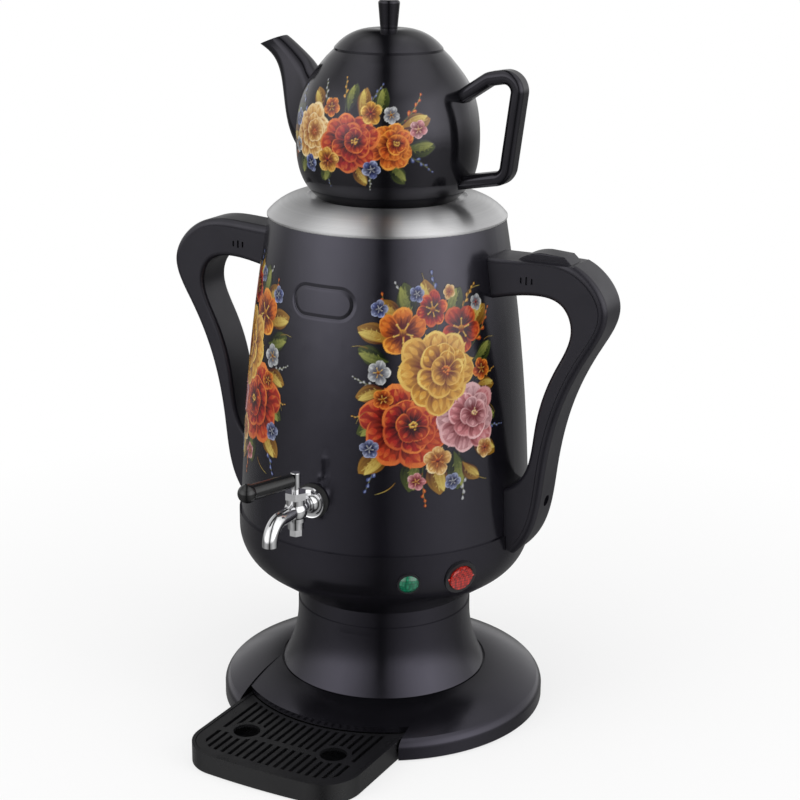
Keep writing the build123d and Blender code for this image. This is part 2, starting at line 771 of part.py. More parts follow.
with BuildPart() as body_shell:
    with BuildSketch(Plane.XZ):
        with BuildLine():
            inner_bottom = (body_bottom_radius - body_wall, bowl_top)
            inner_top = (body_top_radius - body_wall, body_top - body_wall)
            edge_radius = tank_radius + tank_wall + seat_gap
            SagittaArc((body_bottom_radius, bowl_top), (body_top_radius, body_top), -body_bulge)
            Polyline(
                (body_top_radius, body_top),
                (edge_radius, body_top),
                (edge_radius, body_top - body_wall),
                inner_top,
            )
            SagittaArc(inner_bottom, inner_top, -body_bulge)
            Line(inner_bottom, (body_bottom_radius, bowl_top))
        make_face()
    revolve(axis=Axis.Z)
    add(badge_field.part, mode=Mode.SUBTRACT)
    with BuildSketch(tap_plane):
        Circle(tap_shank_radius + slide_gap)
    extrude(amount=body_bottom_radius + overrun, mode=Mode.SUBTRACT)
    with BuildSketch(slot_plane):
        Rectangle(latch_bar_width + 2 * latch_slot_gap, latch_bar_height + 2 * latch_slot_gap)
    extrude(amount=body_bottom_radius, mode=Mode.SUBTRACT)
    for level_share in (upper_screw_share, lower_screw_share):
        with BuildSketch(Plane.YZ):
            with Locations((0, handle_bottom + handle_height * level_share)):
                Circle(screw_radius + seat_gap)
        extrude(amount=body_bottom_radius + overrun, both=True, mode=Mode.SUBTRACT)

# Water tank, hung by its flange on the body's top edge
tank_outside = tank_radius + tank_wall
with BuildPart() as inner_tank:
    with BuildSketch(Plane.XZ):
        with BuildLine():
            FilletPolyline(
                (0, tank_bottom), (tank_outside, tank_bottom), (tank_outside, body_top), radius=tank_round
            )
            Line((tank_outside, body_top), (body_top_radius - tank_flange_edge, body_top))
            offset(amount=tank_wall, side=Side.LEFT)
        make_face()
    revolve(axis=Axis.Z)
    with BuildSketch(tap_plane):
        Circle(tap_shank_radius + slide_gap)
    extrude(amount=tank_outside + overrun, mode=Mode.SUBTRACT)
    with BuildSketch(slot_plane):
        Rectangle(latch_bar_width + 2 * latch_slot_gap, latch_bar_height + 2 * latch_slot_gap)
    extrude(amount=tank_outside + overrun, mode=Mode.SUBTRACT)

stud_bottom = pedestal_top - pedestal_plate - stud_nut_height - stud_end
with BuildPart() as tank_studs:
    with BuildSketch(Plane.XY.offset(stud_bottom)):
        with PolarLocations(stud_circle, len(stud_angles), start_angle=stud_angles[0]):
            Circle(stud_radius)
    extrude(amount=tank_bottom - stud_bottom)

with BuildPart() as stud_nuts:
    with BuildSketch(Plane.XY.offset(pedestal_top - pedestal_plate)):
        with PolarLocations(stud_circle, len(stud_angles), start_angle=stud_angles[0]):
            RegularPolygon(stud_nut_radius, 6)
            Circle(stud_radius + seat_gap, mode=Mode.SUBTRACT)
    extrude(amount=-stud_nut_height)

# Heater plate, tubular element, thermostat and fuse under the tank
with BuildPart() as heater_plate:
    with BuildSketch(Plane.XY.offset(heater_bottom)):
        Circle(heater_radius)
    extrude(amount=heater_thickness)

element_level = heater_bottom - element_radius - seat_gap
element_start = 90 + (360 - element_turn) / 2
element_plane = Plane.XZ.rotated((0, 0, element_start))
with BuildPart() as heating_element:
    with BuildSketch(element_plane):
        with Locations((element_ring_radius, element_level)):
            Circle(element_radius)
    revolve(axis=Axis.Z, revolution_arc=element_turn)
    with BuildSketch(Plane.XY.offset(element_level)):
        with PolarLocations(element_ring_radius, 2, start_angle=element_start, angular_range=element_turn,
                            endpoint=True):
            Circle(element_pin_radius)
    extrude(amount=-element_pin_length)

with BuildPart() as thermostat:
    with BuildSketch(Plane.XY.offset(heater_bottom)):
        Circle(thermostat_flange_radius)
    extrude(amount=-thermostat_flange)
    with BuildSketch(Plane.XY.offset(heater_bottom - thermostat_flange)):
        Circle(thermostat_radius)
    extrude(amount=-thermostat_height)

fuse_plane = Plane(
    (0, -fuse_distance, heater_bottom - fuse_radius - seat_gap), x_dir=(0, 1, 0), z_dir=(1, 0, 0)
)
with BuildPart() as thermal_fuse:
    with BuildSketch(fuse_plane):
        Circle(fuse_radius)
    extrude(amount=fuse_length / 2, both=True)
    with BuildSketch(fuse_plane):
        Circle(fuse_lead_radius)
    extrude(amount=fuse_length / 2 + fuse_lead_length, both=True)

with BuildPart() as terminal_block:
    with BuildSketch(Plane.XY.offset(bowl_floor)):
        with Locations((0, block_distance)):
            Rectangle(block_length, block_width)
    extrude(amount=block_height)

# Wires from the inlet and the element to the terminal block
block_top = bowl_floor + block_height
wire_starts = []
for x, y in ((-pin_spacing, pin_offset), (pin_spacing, pin_offset), (0, -pin_offset)):
    tail = inlet_plane.offset(-inlet_seat - inlet_depth - pin_tail)
    start = tail.from_local_coords(Vector(x, y, 0))
    run = (start.Y - block_distance) / tail.z_dir.Y
    wire_starts.append((start, start - tail.z_dir * run))
for side in (-1, 1):
    angle = radians(90 + side * (360 - element_turn) / 2)
    start = Vector(element_ring_radius * cos(angle), element_ring_radius * sin(angle), element_level)
    start -= Vector(0, 0, element_pin_length)
    low = start - Vector(0, 0, wire_drop)
    wire_starts.append((start, low, Vector(low.X, block_distance, low.Z)))

with BuildPart() as wiring:
    for points in wire_starts:
        end = Vector(points[-1].X, block_distance, block_top)
        with BuildLine():
            path = FilletPolyline(*points, end, radius=wire_bend)
        with BuildSketch(Plane(origin=path @ 0, z_dir=path % 0)):
            Circle(wire_radius)
        sweep(path=path)


# Solid envelope of the body, used to fit pieces against its curved side
def body_envelope(grow):
    with BuildPart() as envelope:
        with BuildSketch(Plane.XZ):
            with BuildLine():
                bottom = (body_bottom_radius + grow, bowl_top)
                top = (body_top_radius + grow, body_top)
                lip = bowl_radius + grow
                low = handle_bottom - overrun
                SagittaArc(bottom, top, -body_bulge)
                Polyline(top, (0, body_top), (0, low), (lip, low), (lip, bowl_top), bottom)
            make_face()
        revolve(axis=Axis.Z)
    return envelope.part


body_fit = body_envelope(seat_gap)

# Tap: gasket, body, back nut, spout, bonnet and a plug that turns with the lever
tap_surface = body_radius_at(tap_level)
tap_face = tap_surface + tap_gasket_thickness
plug_distance = tap_surface + tap_reach
plug_foot = tap_level - tap_boss_bottom
plug_top = tap_level + tap_boss_top
tap_nut_face = sqrt(tank_radius**2 - tap_nut_radius**2) - seat_gap
tap_side = Plane((0, 0, tap_level), x_dir=(0, -1, 0), z_dir=(-1, 0, 0))

with BuildPart() as tap_gasket:
    with BuildSketch(tap_plane.offset(tap_face)):
        Circle(tap_gasket_radius)
        Circle(tap_shank_radius + seat_gap, mode=Mode.SUBTRACT)
    extrude(amount=-tap_gasket_thickness - overrun)
    add(body_fit, mode=Mode.SUBTRACT)

with BuildPart() as tap_body:
    with BuildSketch(tap_plane.offset(tap_nut_face - tap_nut_thickness - tap_shank_end)):
        Circle(tap_shank_radius)
    extrude(amount=tap_face - tap_nut_face + tap_nut_thickness + tap_shank_end)
    with BuildSketch(tap_side):
        flange_front = tap_face + tap_flange_thickness
        with BuildLine():
            Polyline(
                (tap_face, 0),
                (tap_face, tap_flange_radius),
                (flange_front, tap_flange_radius),
            )
            TangentArc(
                (flange_front + tap_cone_length, tap_neck_radius),
                (flange_front, tap_flange_radius),
                tangent=(-1, 0),
            )
            Polyline(
                (flange_front + tap_cone_length, tap_neck_radius),
                (plug_distance, tap_neck_radius),
                (plug_distance, 0),
                (tap_face, 0),
            )
        make_face()
    revolve(axis=Axis((0, 0, tap_level), (0, -1, 0)))
    with Locations((0, -plug_distance, tap_level)):
        Sphere(tap_ball_radius)
    with BuildSketch(Plane.XY.offset(plug_foot)):
        with Locations((0, -plug_distance)):
            Circle(tap_boss_radius)
    extrude(amount=plug_top - plug_foot)
    with BuildSketch(Plane.XY.offset(plug_foot)):
        with Locations((0, -plug_distance)):
            Circle(plug_radius + run_gap)
    extrude(amount=plug_top - plug_foot, both=True, mode=Mode.SUBTRACT)
    with BuildSketch(tap_plane):
        Circle(tap_bore_radius)
    extrude(amount=plug_distance + tap_ball_radius, mode=Mode.SUBTRACT)
    with BuildSketch(tap_plane.offset(plug_distance + tap_ball_radius - spout_socket)):
        Circle(spout_radius + seat_gap)
    extrude(amount=overrun, mode=Mode.SUBTRACT)

with BuildPart() as tap_nut:
    with BuildSketch(tap_plane.offset(tap_nut_face)):
        RegularPolygon(tap_nut_radius, 6)
        Circle(tap_shank_radius + seat_gap, mode=Mode.SUBTRACT)
    extrude(amount=-tap_nut_thickness)

with BuildPart() as tap_spout:
    with BuildLine(tap_side):
        path = FilletPolyline(
            (plug_distance + tap_ball_radius - spout_socket, 0),
            (plug_distance + spout_reach, 0),
            (plug_distance + spout_reach, -spout_drop),
            radius=spout_bend,
        )
    with BuildSketch(Plane(origin=path @ 0, z_dir=path % 0)):
        Circle(spout_radius)
        Circle(spout_bore_radius, mode=Mode.SUBTRACT)
    sweep(path=path)

with BuildPart() as tap_bonnet:
    with BuildSketch(Plane.XY.offset(plug_top)):
        with Locations((0, -plug_distance)):
            RegularPolygon(bonnet_radius, 6)
            Circle(stem_radius + run_gap, mode=Mode.SUBTRACT)
    extrude(amount=bonnet_height)

lever_level = tap_level + stem_top - lever_hub_height / 2
lever_turn = radians(270 - lever_angle)
lever_plane = Plane(
    (0, -plug_distance, lever_level),
    x_dir=(0, 0, 1),
    z_dir=(cos(lever_turn), sin(lever_turn), 0),
)
with BuildPart() as tap_plug:
    with BuildSketch(Plane.XY.offset(plug_foot)):
        with Locations((0, -plug_distance)):
            Circle(plug_radius)
    extrude(amount=plug_top - plug_foot - slide_gap)
    with BuildSketch(Plane.YZ):
        with Locations((-plug_distance, tap_level)):
            Circle(tap_bore_radius)
    extrude(amount=tap_ball_radius, both=True, mode=Mode.SUBTRACT)
    with BuildSketch(Plane.XY.offset(plug_foot - bottom_washer_height - bottom_nut_height)):
        with Locations((0, -plug_distance)):
            Circle(stem_radius)
    extrude(amount=bottom_washer_height + bottom_nut_height)
    with BuildSketch(Plane.XY.offset(plug_top - slide_gap)):
        with Locations((0, -plug_distance)):
            Circle(stem_radius)
    extrude(amount=tap_level + stem_top - lever_hub_height - plug_top + slide_gap)

with BuildPart() as tap_bottom_nut:
    with BuildSketch(Plane.XY.offset(plug_foot - slide_gap)):
        with Locations((0, -plug_distance)):
            Circle(bottom_washer_radius)
    extrude(amount=slide_gap - bottom_washer_height)
    with BuildSketch(Plane.XY.offset(plug_foot - bottom_washer_height)):
        with Locations((0, -plug_distance)):
            RegularPolygon(bottom_nut_radius, 6)
    extrude(amount=-bottom_nut_height)
    with BuildSketch(Plane.XY.offset(plug_foot)):
        with Locations((0, -plug_distance)):
            Circle(stem_radius + seat_gap)
    extrude(amount=-bottom_washer_height - bottom_nut_height, mode=Mode.SUBTRACT)

with BuildPart() as tap_lever:
    with BuildSketch(Plane.XY.offset(tap_level + stem_top - lever_hub_height)):
        with Locations((0, -plug_distance)):
            Circle(lever_hub_radius)
    extrude(amount=lever_hub_height)
    fillet(edges().group_by(Axis.Z)[-1], radius=lever_hub_round)
    with BuildSketch(lever_plane):
        Circle(lever_rod_radius)
    extrude(amount=grip_start + grip_socket)

with BuildPart() as tap_grip:
    with BuildSketch(lever_plane.offset(grip_start)):
        Circle(grip_neck_radius)
    with BuildSketch(lever_plane.offset(grip_start + grip_length)):
        Circle(grip_radius)
    loft()
    with Locations(lever_plane.offset(grip_start + grip_length)):
        Sphere(grip_ball_radius)
    with BuildSketch(lever_plane.offset(grip_start)):
        Circle(lever_rod_radius + seat_gap)
    extrude(amount=grip_socket + seat_gap, mode=Mode.SUBTRACT)


# Handles: a hollow shell against the body and a crowned cover along its outer edge
def handle_point(reach_share, height_share):
    level = handle_bottom + height_share * handle_height
    return (body_radius_at(level) + reach_share * handle_reach, level)


def handle_root_point(height_share):
    radius, level = handle_point(0, height_share)
    return (radius - handle_root, level)


# Points moved square to the line through them, to the left of its run
def shifted(points, amount):
    moved = []
    for index, (x, z) in enumerate(points):
        before = points[max(index - 1, 0)]
        after = points[min(index + 1, len(points) - 1)]
        run = hypot(after[0] - before[0], after[1] - before[1])
        moved.append((x - amount * (after[1] - before[1]) / run, z + amount * (after[0] - before[0]) / run))
    return moved


outline_points = [handle_root_point(outer_foot_share)]
outline_points += [handle_point(*shares) for shares in zip(outer_reach_shares, outer_height_shares)]
outer_points = shifted(outline_points, -handle_seam_inset)
inner_points = [handle_root_point(inner_foot_share)]
inner_points += [handle_point(*shares) for shares in zip(inner_reach_shares, inner_height_shares)]
inner_points.append(handle_root_point(lower_foot_share))
crown_points = shifted(outer_points, handle_crown)
pocket_outer = shifted(outer_points, handle_crown - handle_wall)[:-1]
pocket_inner = shifted(inner_points, handle_wall)

with BuildSketch(Plane.XZ) as handle_outline:
    with BuildLine():
        Spline(*outer_points)
        Polyline(outer_points[-1], handle_root_point(0), inner_points[-1])
        Spline(*inner_points)
        Line(inner_points[0], outer_points[0])
    make_face()

with BuildSketch(Plane.XZ) as cover_outline:
    with BuildLine():
        Spline(*outer_points)
        Line(outer_points[-1], crown_points[-1])
        Spline(*crown_points)
        Line(crown_points[0], outer_points[0])
    make_face()

with BuildSketch(Plane.XZ) as pocket_outline:
    with BuildLine():
        Spline(*pocket_outer)
        Polyline(pocket_outer[-1], handle_root_point(outer_height_shares[-2]), pocket_inner[-1])
        Spline(*pocket_inner)
        Line(pocket_inner[0], pocket_outer[0])
    make_face()

upper_screw_level = handle_bottom + handle_height * upper_screw_share
lower_screw_level = handle_bottom + handle_height * lower_screw_share
cover_screw_level = handle_bottom + handle_height * cover_screw_share
above, below = crown_points[-3:-1]
cover_screw_radius = below[0] + (above[0] - below[0]) * (cover_screw_level - below[1]) / (above[1] - below[1])
deck_end = body_radius_at(deck_level) + latch_deck_length
latch_inner = body_radius_at(deck_level) + latch_start
latch_outer = latch_inner + latch_length
keel_inner = latch_inner + latch_keel_start
keel_outer = latch_outer - latch_keel_end
bar_inner = tank_outside + latch_tip_gap
vent_level = handle_bottom + handle_height * vent_height_share
vent_centre = body_radius_at(vent_level) + vent_reach

with BuildPart() as handle_pocket:
    extrude(pocket_outline.sketch, amount=handle_width / 2 - handle_wall, both=True)
    add(body_envelope(handle_foot_wall), mode=Mode.SUBTRACT)
    with BuildSketch(Plane.YZ):
        with Locations((0, cover_screw_level)):
            Circle(boss_radius)
    extrude(amount=cover_screw_radius, mode=Mode.SUBTRACT)

with BuildPart() as handle_blank:
    extrude(handle_outline.sketch, amount=handle_width / 2, both=True)
    for side in (0, -1):
        face = faces().filter_by(Axis.Y).sort_by(Axis.Y)[side]
        fillet(face.edges().sort_by(SortBy.LENGTH)[-2], radius=handle_inner_round)
    add(handle_pocket.part, mode=Mode.SUBTRACT)
    add(body_fit, mode=Mode.SUBTRACT)
    with BuildSketch(Plane.YZ):
        with Locations((0, upper_screw_level), (0, lower_screw_level)):
            Circle(screw_radius + seat_gap)
    extrude(amount=body_bottom_radius + handle_foot_wall, mode=Mode.SUBTRACT)
    with BuildSketch(Plane.YZ.offset(cover_screw_radius)):
        with Locations((0, cover_screw_level)):
            Circle(screw_radius + seat_gap)
    extrude(amount=-cover_recess - cover_screw_length - seat_gap, mode=Mode.SUBTRACT)
    with BuildSketch(Plane.YZ.offset(cover_screw_radius - cover_recess)):
        with Locations((0, cover_screw_level)):
            Circle(screw_head_radius + slide_gap)
    extrude(amount=cover_recess + overrun, mode=Mode.SUBTRACT)
    for side in (-1, 1):
        with BuildSketch(Plane.XZ.offset(side * handle_width / 2)):
            with Locations((vent_centre, vent_level)):
                SlotOverall(vent_length, vent_width, rotation=90)
            with Locations((vent_centre - vent_pitch, vent_level), (vent_centre + vent_pitch, vent_level)):
                SlotOverall(vent_length - vent_width, vent_width, rotation=90)
        extrude(amount=-side * vent_depth, mode=Mode.SUBTRACT)

with BuildPart() as cover_blank:
    extrude(cover_outline.sketch, amount=handle_width / 2 - handle_seam_step, both=True)
    for side in (0, -1):
        face = faces().filter_by(Axis.Y).sort_by(Axis.Y)[side]
        fillet(face.edges().sort_by(SortBy.LENGTH)[-1], radius=handle_edge_round)
    add(body_fit, mode=Mode.SUBTRACT)
    with BuildSketch(Plane.YZ.offset(cover_screw_radius - cover_recess)):
        with Locations((0, cover_screw_level)):
            Circle(screw_head_radius + slide_gap)
    extrude(amount=cover_recess + overrun, mode=Mode.SUBTRACT)
    with BuildSketch(Plane.YZ.offset(cover_screw_radius)):
        with Locations((0, cover_screw_level)):
            Circle(screw_radius + seat_gap)
    extrude(amount=-cover_recess - cover_screw_length, mode=Mode.SUBTRACT)

with BuildPart() as right_handle_shell:
    add(handle_blank.part)
    with BuildSketch(slot_plane):
        Rectangle(latch_bar_width + 2 * latch_slot_gap, latch_bar_height + 2 * latch_slot_gap)
    extrude(amount=keel_outer, mode=Mode.SUBTRACT)

with BuildPart() as left_handle_shell:
    mirror(handle_blank.part, about=Plane.YZ)

# The right cover has a flat deck with a slot for the thumb slide
with BuildPart() as deck_pocket:
    add(handle_pocket.part)
    with BuildSketch(Plane.XY.offset(deck_level - handle_wall)):
        Rectangle(2 * deck_end, handle_width)
    extrude(amount=handle_crown + overrun, mode=Mode.SUBTRACT)

with BuildPart() as right_handle_cover:
    add(cover_blank.part)
    add(deck_pocket.part, mode=Mode.SUBTRACT)
    with BuildSketch(Plane.XY.offset(deck_level)):
        Rectangle(2 * deck_end, handle_width)
    extrude(amount=handle_crown + overrun, mode=Mode.SUBTRACT)
    with BuildSketch(Plane.XY.offset(deck_level)):
        with Locations(((keel_inner + keel_outer - latch_travel) / 2, 0)):
            slot_length = keel_outer - keel_inner + latch_travel + 2 * latch_slot_gap
            Rectangle(slot_length, latch_keel_width + 2 * latch_slot_gap)
    extrude(amount=-latch_bar_drop, mode=Mode.SUBTRACT)
    with BuildSketch(slot_plane):
        Rectangle(latch_bar_width + 2 * latch_slot_gap, latch_bar_height + 2 * latch_slot_gap)
    extrude(amount=keel_outer, mode=Mode.SUBTRACT)

with BuildPart() as left_handle_cover:
    mirror(cover_blank.part, about=Plane.YZ)
    mirror(handle_pocket.part, about=Plane.YZ, mode=Mode.SUBTRACT)

with BuildPart() as handle_screws:
    for level in (upper_screw_level, lower_screw_level):
        wall_radius = body_radius_at(level + screw_head_radius) - body_wall
        head_face = sqrt(wall_radius**2 - screw_head_radius**2) - seat_gap
        with BuildSketch(Plane.YZ.offset(head_face)):
            with Locations((0, level)):
                Circle(screw_head_radius)
        extrude(amount=-screw_head_height)
        with BuildSketch(Plane.YZ.offset(head_face)):
            with Locations((0, level)):
                Circle(screw_radius)
        extrude(amount=handle_screw_length)
    mirror(about=Plane.YZ)

with BuildPart() as cover_screws:
    with BuildSketch(Plane.YZ.offset(cover_screw_radius - cover_recess)):
        with Locations((0, cover_screw_level)):
            Circle(screw_head_radius)
    extrude(amount=screw_head_height)
    with BuildSketch(Plane.YZ.offset(cover_screw_radius - cover_recess)):
        with Locations((0, cover_screw_level)):
            Circle(screw_radius)
    extrude(amount=-cover_screw_length)
    mirror(about=Plane.YZ)

# Thumb slide: a ridged button, a keel through the deck and a bar that locks the lid
with BuildPart() as lid_latch:
    with BuildSketch(Plane.XZ):
        with BuildLine():
            crest = (latch_inner + latch_ramp, deck_level + latch_height)
            brow = (latch_outer - latch_step, deck_level + latch_height - latch_fall)
            TangentArc(crest, (latch_inner, deck_level), tangent=(-1, 0))
            Polyline(crest, brow, (latch_outer, deck_level), (latch_inner, deck_level))
        make_face()
    extrude(amount=latch_width / 2, both=True)
    fillet(faces().filter_by(Axis.Y).edges().sort_by(Axis.Z)[2:], radius=latch_edge_round)
    with BuildSketch(Plane.YZ.offset(latch_inner)):
        for row in range(latch_ridge_count):
            ridge_level = deck_level + (row + 1) * latch_ridge_pitch
            with Locations((-latch_width / 2, ridge_level), (latch_width / 2, ridge_level)):
                Rectangle(2 * latch_ridge_depth, latch_ridge_width)
    extrude(amount=latch_length, mode=Mode.SUBTRACT)
    with BuildSketch(Plane.XY.offset(deck_level)):
        with Locations(((keel_inner + keel_outer) / 2, 0)):
            Rectangle(keel_outer - keel_inner, latch_keel_width)
    extrude(amount=-latch_bar_drop)
    with BuildSketch(Plane.XY.offset(bar_level)):
        with Locations(((bar_inner + keel_outer) / 2, 0)):
            Rectangle(keel_outer - bar_inner, latch_bar_width)
    extrude(amount=latch_bar_height)

# Tank lid: a domed sheet with a seat for the teapot and a steam hole
skirt_radius = tank_radius - lid_skirt_gap
skirt_bottom = tank_top - lid_skirt_depth
lip_radius = lid_seat_radius + lid_lip_width
skirt_inside = skirt_radius - lid_skirt_wall
inside_share = (skirt_inside - lip_radius) / (lid_radius - lip_radius)
inside_level = tank_top + lid_rise * (1 - inside_share)
with BuildPart() as tank_lid:
    with BuildSketch(Plane.XZ):
        with BuildLine():
            Polyline(
                (skirt_inside, inside_level),
                (skirt_inside, tank_top),
                (lid_radius, tank_top),
                (lid_radius, tank_top + lid_sheet),
            )
            SagittaArc((lid_radius, tank_top + lid_sheet), (lip_radius, lid_top), -lid_bulge)
            Polyline(
                (lip_radius, lid_top),
                (lid_seat_radius, lid_top),
                (lid_seat_radius, seat_level),
                (lid_hole_radius, seat_level),
                (lid_hole_radius, seat_level - lid_sheet),
                (lip_radius, seat_level - lid_sheet),
            )
            inside_bulge = lid_bulge * inside_share**2
            SagittaArc((lip_radius, seat_level - lid_sheet), (skirt_inside, inside_level), inside_bulge)
        make_face()
    revolve(axis=Axis.Z)

# Skirt ring welded under the lid, with the window for the latch bar
with BuildPart() as lid_skirt:
    with BuildSketch(Plane.XY.offset(skirt_bottom)):
        Circle(skirt_radius)
        Circle(skirt_inside, mode=Mode.SUBTRACT)
    extrude(amount=lid_skirt_depth - seat_gap)
    with BuildSketch(slot_plane):
        Rectangle(latch_bar_width + 2 * latch_slot_gap, latch_bar_height + 2 * latch_slot_gap)
    extrude(amount=tank_outside, mode=Mode.SUBTRACT)

with BuildPart() as lid_seal:
    with BuildSketch(Plane.XY.offset(skirt_bottom + seal_lift)):
        Circle(tank_radius - seal_gap)
        Circle(skirt_radius + seat_gap, mode=Mode.SUBTRACT)
    extrude(amount=seal_height)

# Teapot: round body, spout towards -X and handle towards +X
pot_points = [(pot_foot_radius, seat_level)]
for radius_share, height_share in zip(pot_radius_shares, pot_height_shares):
    pot_points.append((pot_radius * radius_share, seat_level + pot_height * height_share))
pot_points.append((pot_shoulder_radius, pot_top))
pot_inner_points = shifted(pot_points, pot_wall)
pot_slopes = (pot_foot_slope_shares, pot_shoulder_slope_shares)
cavity_bottom = pot_inner_points[0][1]
cavity_top = pot_inner_points[-1][1]

# Spout sections from the body to the tip: plane, half width and half height
spout_sections = []
for reach_share, level_share, width_share, height_share, tilt in zip(
    pot_spout_reach_shares,
    pot_spout_level_shares,
    pot_spout_width_shares,
    pot_spout_height_shares,
    pot_spout_tilts,
):
    place = Plane(
        (-pot_spout_reach * reach_share, 0, seat_level + pot_height * level_share),
        x_dir=(0, 1, 0),
        z_dir=(-cos(radians(tilt)), 0, sin(radians(tilt))),
    )
    spout_sections.append((place, pot_spout_half_width * width_share, pot_spout_half_height * height_share))

with BuildPart() as spout_bore:
    for place, half_width, half_height in spout_sections:
        with BuildSketch(place):
            bore_half_width = half_width - pot_spout_wall
            RectangleRounded(
                2 * bore_half_width,
                2 * (half_height - pot_spout_wall),
                bore_half_width * pot_spout_round_share,
            )
    loft()
    extrude(faces().sort_by(Axis.Z)[-1], amount=overrun)

with BuildPart() as pot_cavity:
    with BuildSketch(Plane.XZ):
        with BuildLine():
            Spline(*pot_inner_points, tangents=pot_slopes)
            Polyline(
                pot_inner_points[-1],
                (pot_mouth_radius, cavity_top),
                (pot_mouth_radius, pot_top),
                (0, pot_top),
                (0, cavity_bottom),
                pot_inner_points[0],
            )
        make_face()
    revolve(axis=Axis.Z)

# The space of the body with the joint line round it, which spout and handle end at
joint_points = shifted(pot_points, -seat_gap)
with BuildPart() as pot_blank:
    with BuildSketch(Plane.XZ):
        with BuildLine():
            Spline(*joint_points, tangents=pot_slopes)
            joint_top = joint_points[-1][1]
            joint_bottom = joint_points[0][1]
            Polyline(joint_points[-1], (0, joint_top), (0, joint_bottom), joint_points[0])
        make_face()
    revolve(axis=Axis.Z)

with BuildPart() as teapot_spout:
    for place, half_width, half_height in spout_sections:
        with BuildSketch(place):
            RectangleRounded(2 * half_width, 2 * half_height, half_width * pot_spout_round_share)
    loft()
    add(pot_blank.part, mode=Mode.SUBTRACT)
    add(spout_bore.part, mode=Mode.SUBTRACT)

with BuildPart() as teapot_handle:
    with BuildLine(Plane.XZ):
        handle_points = []
        for reach_share, height_share in zip(pot_handle_reach_shares, pot_handle_height_shares):
            handle_points.append((pot_handle_reach * reach_share, seat_level + pot_height * height_share))
        path = FilletPolyline(*handle_points, radius=pot_handle_bend)
    with BuildSketch(Plane(origin=path @ 0, x_dir=(0, 1, 0), z_dir=path % 0)):
        RectangleRounded(pot_handle_width, pot_handle_thickness, pot_handle_round)
    sweep(path=path)
    add(pot_blank.part, mode=Mode.SUBTRACT)

with BuildPart() as teapot_body:
    with BuildSketch(Plane.XZ):
        with BuildLine():
            Spline(*pot_points, tangents=pot_slopes)
            Polyline(pot_points[-1], (0, pot_top), (0, seat_level), pot_points[0])
        make_face()
    revolve(axis=Axis.Z)
    add(pot_cavity.part, mode=Mode.SUBTRACT)
    add(spout_bore.part, mode=Mode.SUBTRACT)

pot_lid_top = pot_top + pot_lid_edge + pot_lid_rise
plug_wall_radius = pot_mouth_radius - slide_gap
with BuildPart() as teapot_lid:
    with BuildSketch(Plane.XZ):
        with BuildLine():
            Polyline(
                (0, pot_top),
                (plug_wall_radius - pot_lid_wall, pot_top),
                (plug_wall_radius - pot_lid_wall, pot_top - pot_lid_plug),
                (plug_wall_radius, pot_top - pot_lid_plug),
                (plug_wall_radius, pot_top),
                (pot_lid_radius, pot_top),
                (pot_lid_radius, pot_top + pot_lid_edge),
            )
            lid_edge_top = pot_top + pot_lid_edge
            SagittaArc((pot_lid_radius, lid_edge_top), (knob_foot_radius, pot_lid_top), -pot_lid_bulge)
            Polyline(
                (knob_foot_radius, pot_lid_top),
                (knob_top_radius, pot_lid_top + knob_height),
                (0, pot_lid_top + knob_height),
                (0, pot_top),
            )
        make_face()
    revolve(axis=Axis.Z)
    fillet(edges().group_by(Axis.Z)[-1], radius=knob_round)

# Drip tray, slid under the dome on two rails, with a lift-out grille
groove_length = sqrt(base_radius**2 - bay_half_width**2) - tray_back
with BuildSketch() as tray_outline:
    with BuildLine():
        front_left = (-tray_half_width, tray_front_bulge - tray_front)
        front_right = (tray_half_width, tray_front_bulge - tray_front)
        Polyline(front_left, (-tray_half_width, -tray_back), (tray_half_width, -tray_back), front_right)
        SagittaArc(front_left, front_right, -tray_front_bulge)
    make_face()
    fillet(vertices().group_by(Axis.Y)[0], radius=tray_corner_radius)

grille_top = tray_top - grille_sink
grille_bottom = grille_top - grille_thickness
with BuildPart() as drip_tray:
    with BuildSketch(Plane.XY.offset(tray_lift)):
        add(tray_outline.sketch)
    extrude(amount=tray_height)
    with BuildSketch(Plane.XY.offset(tray_lift + tray_floor)):
        offset(tray_outline.sketch, amount=-tray_wall)
    extrude(amount=tray_height, mode=Mode.SUBTRACT)
    with BuildSketch(Plane.XY.offset(grille_bottom)):
        offset(tray_outline.sketch, amount=grille_ledge - tray_wall)
    extrude(amount=tray_height, mode=Mode.SUBTRACT)
    for side in (-1, 1):
        with BuildSketch(Plane.XZ.offset(tray_back)):
            with Locations((side * tray_half_width, tray_lift + rail_lift + rail_height / 2)):
                Rectangle(2 * rail_depth, rail_height + 2 * slide_gap)
        extrude(amount=groove_length, mode=Mode.SUBTRACT)

with BuildSketch() as slot_bars:
    with GridLocations(slot_pitch, slot_pitch, slot_count, 1):
        Rectangle(slot_width, 2 * tray_front)

with BuildSketch() as slot_field:
    offset(tray_outline.sketch, amount=-tray_wall - grille_border)
    Circle(apron_radius + slide_gap + grille_back_border, mode=Mode.SUBTRACT)
    with Locations((0, -rib_distance)):
        Rectangle(2 * tray_half_width, rib_width, mode=Mode.SUBTRACT)
    with Locations((0, -finger_hole_distance)):
        with GridLocations(finger_hole_spacing, finger_hole_spacing, 2, 1):
            Circle(finger_hole_radius + finger_ring_width, mode=Mode.SUBTRACT)
    add(slot_bars.sketch, mode=Mode.INTERSECT)

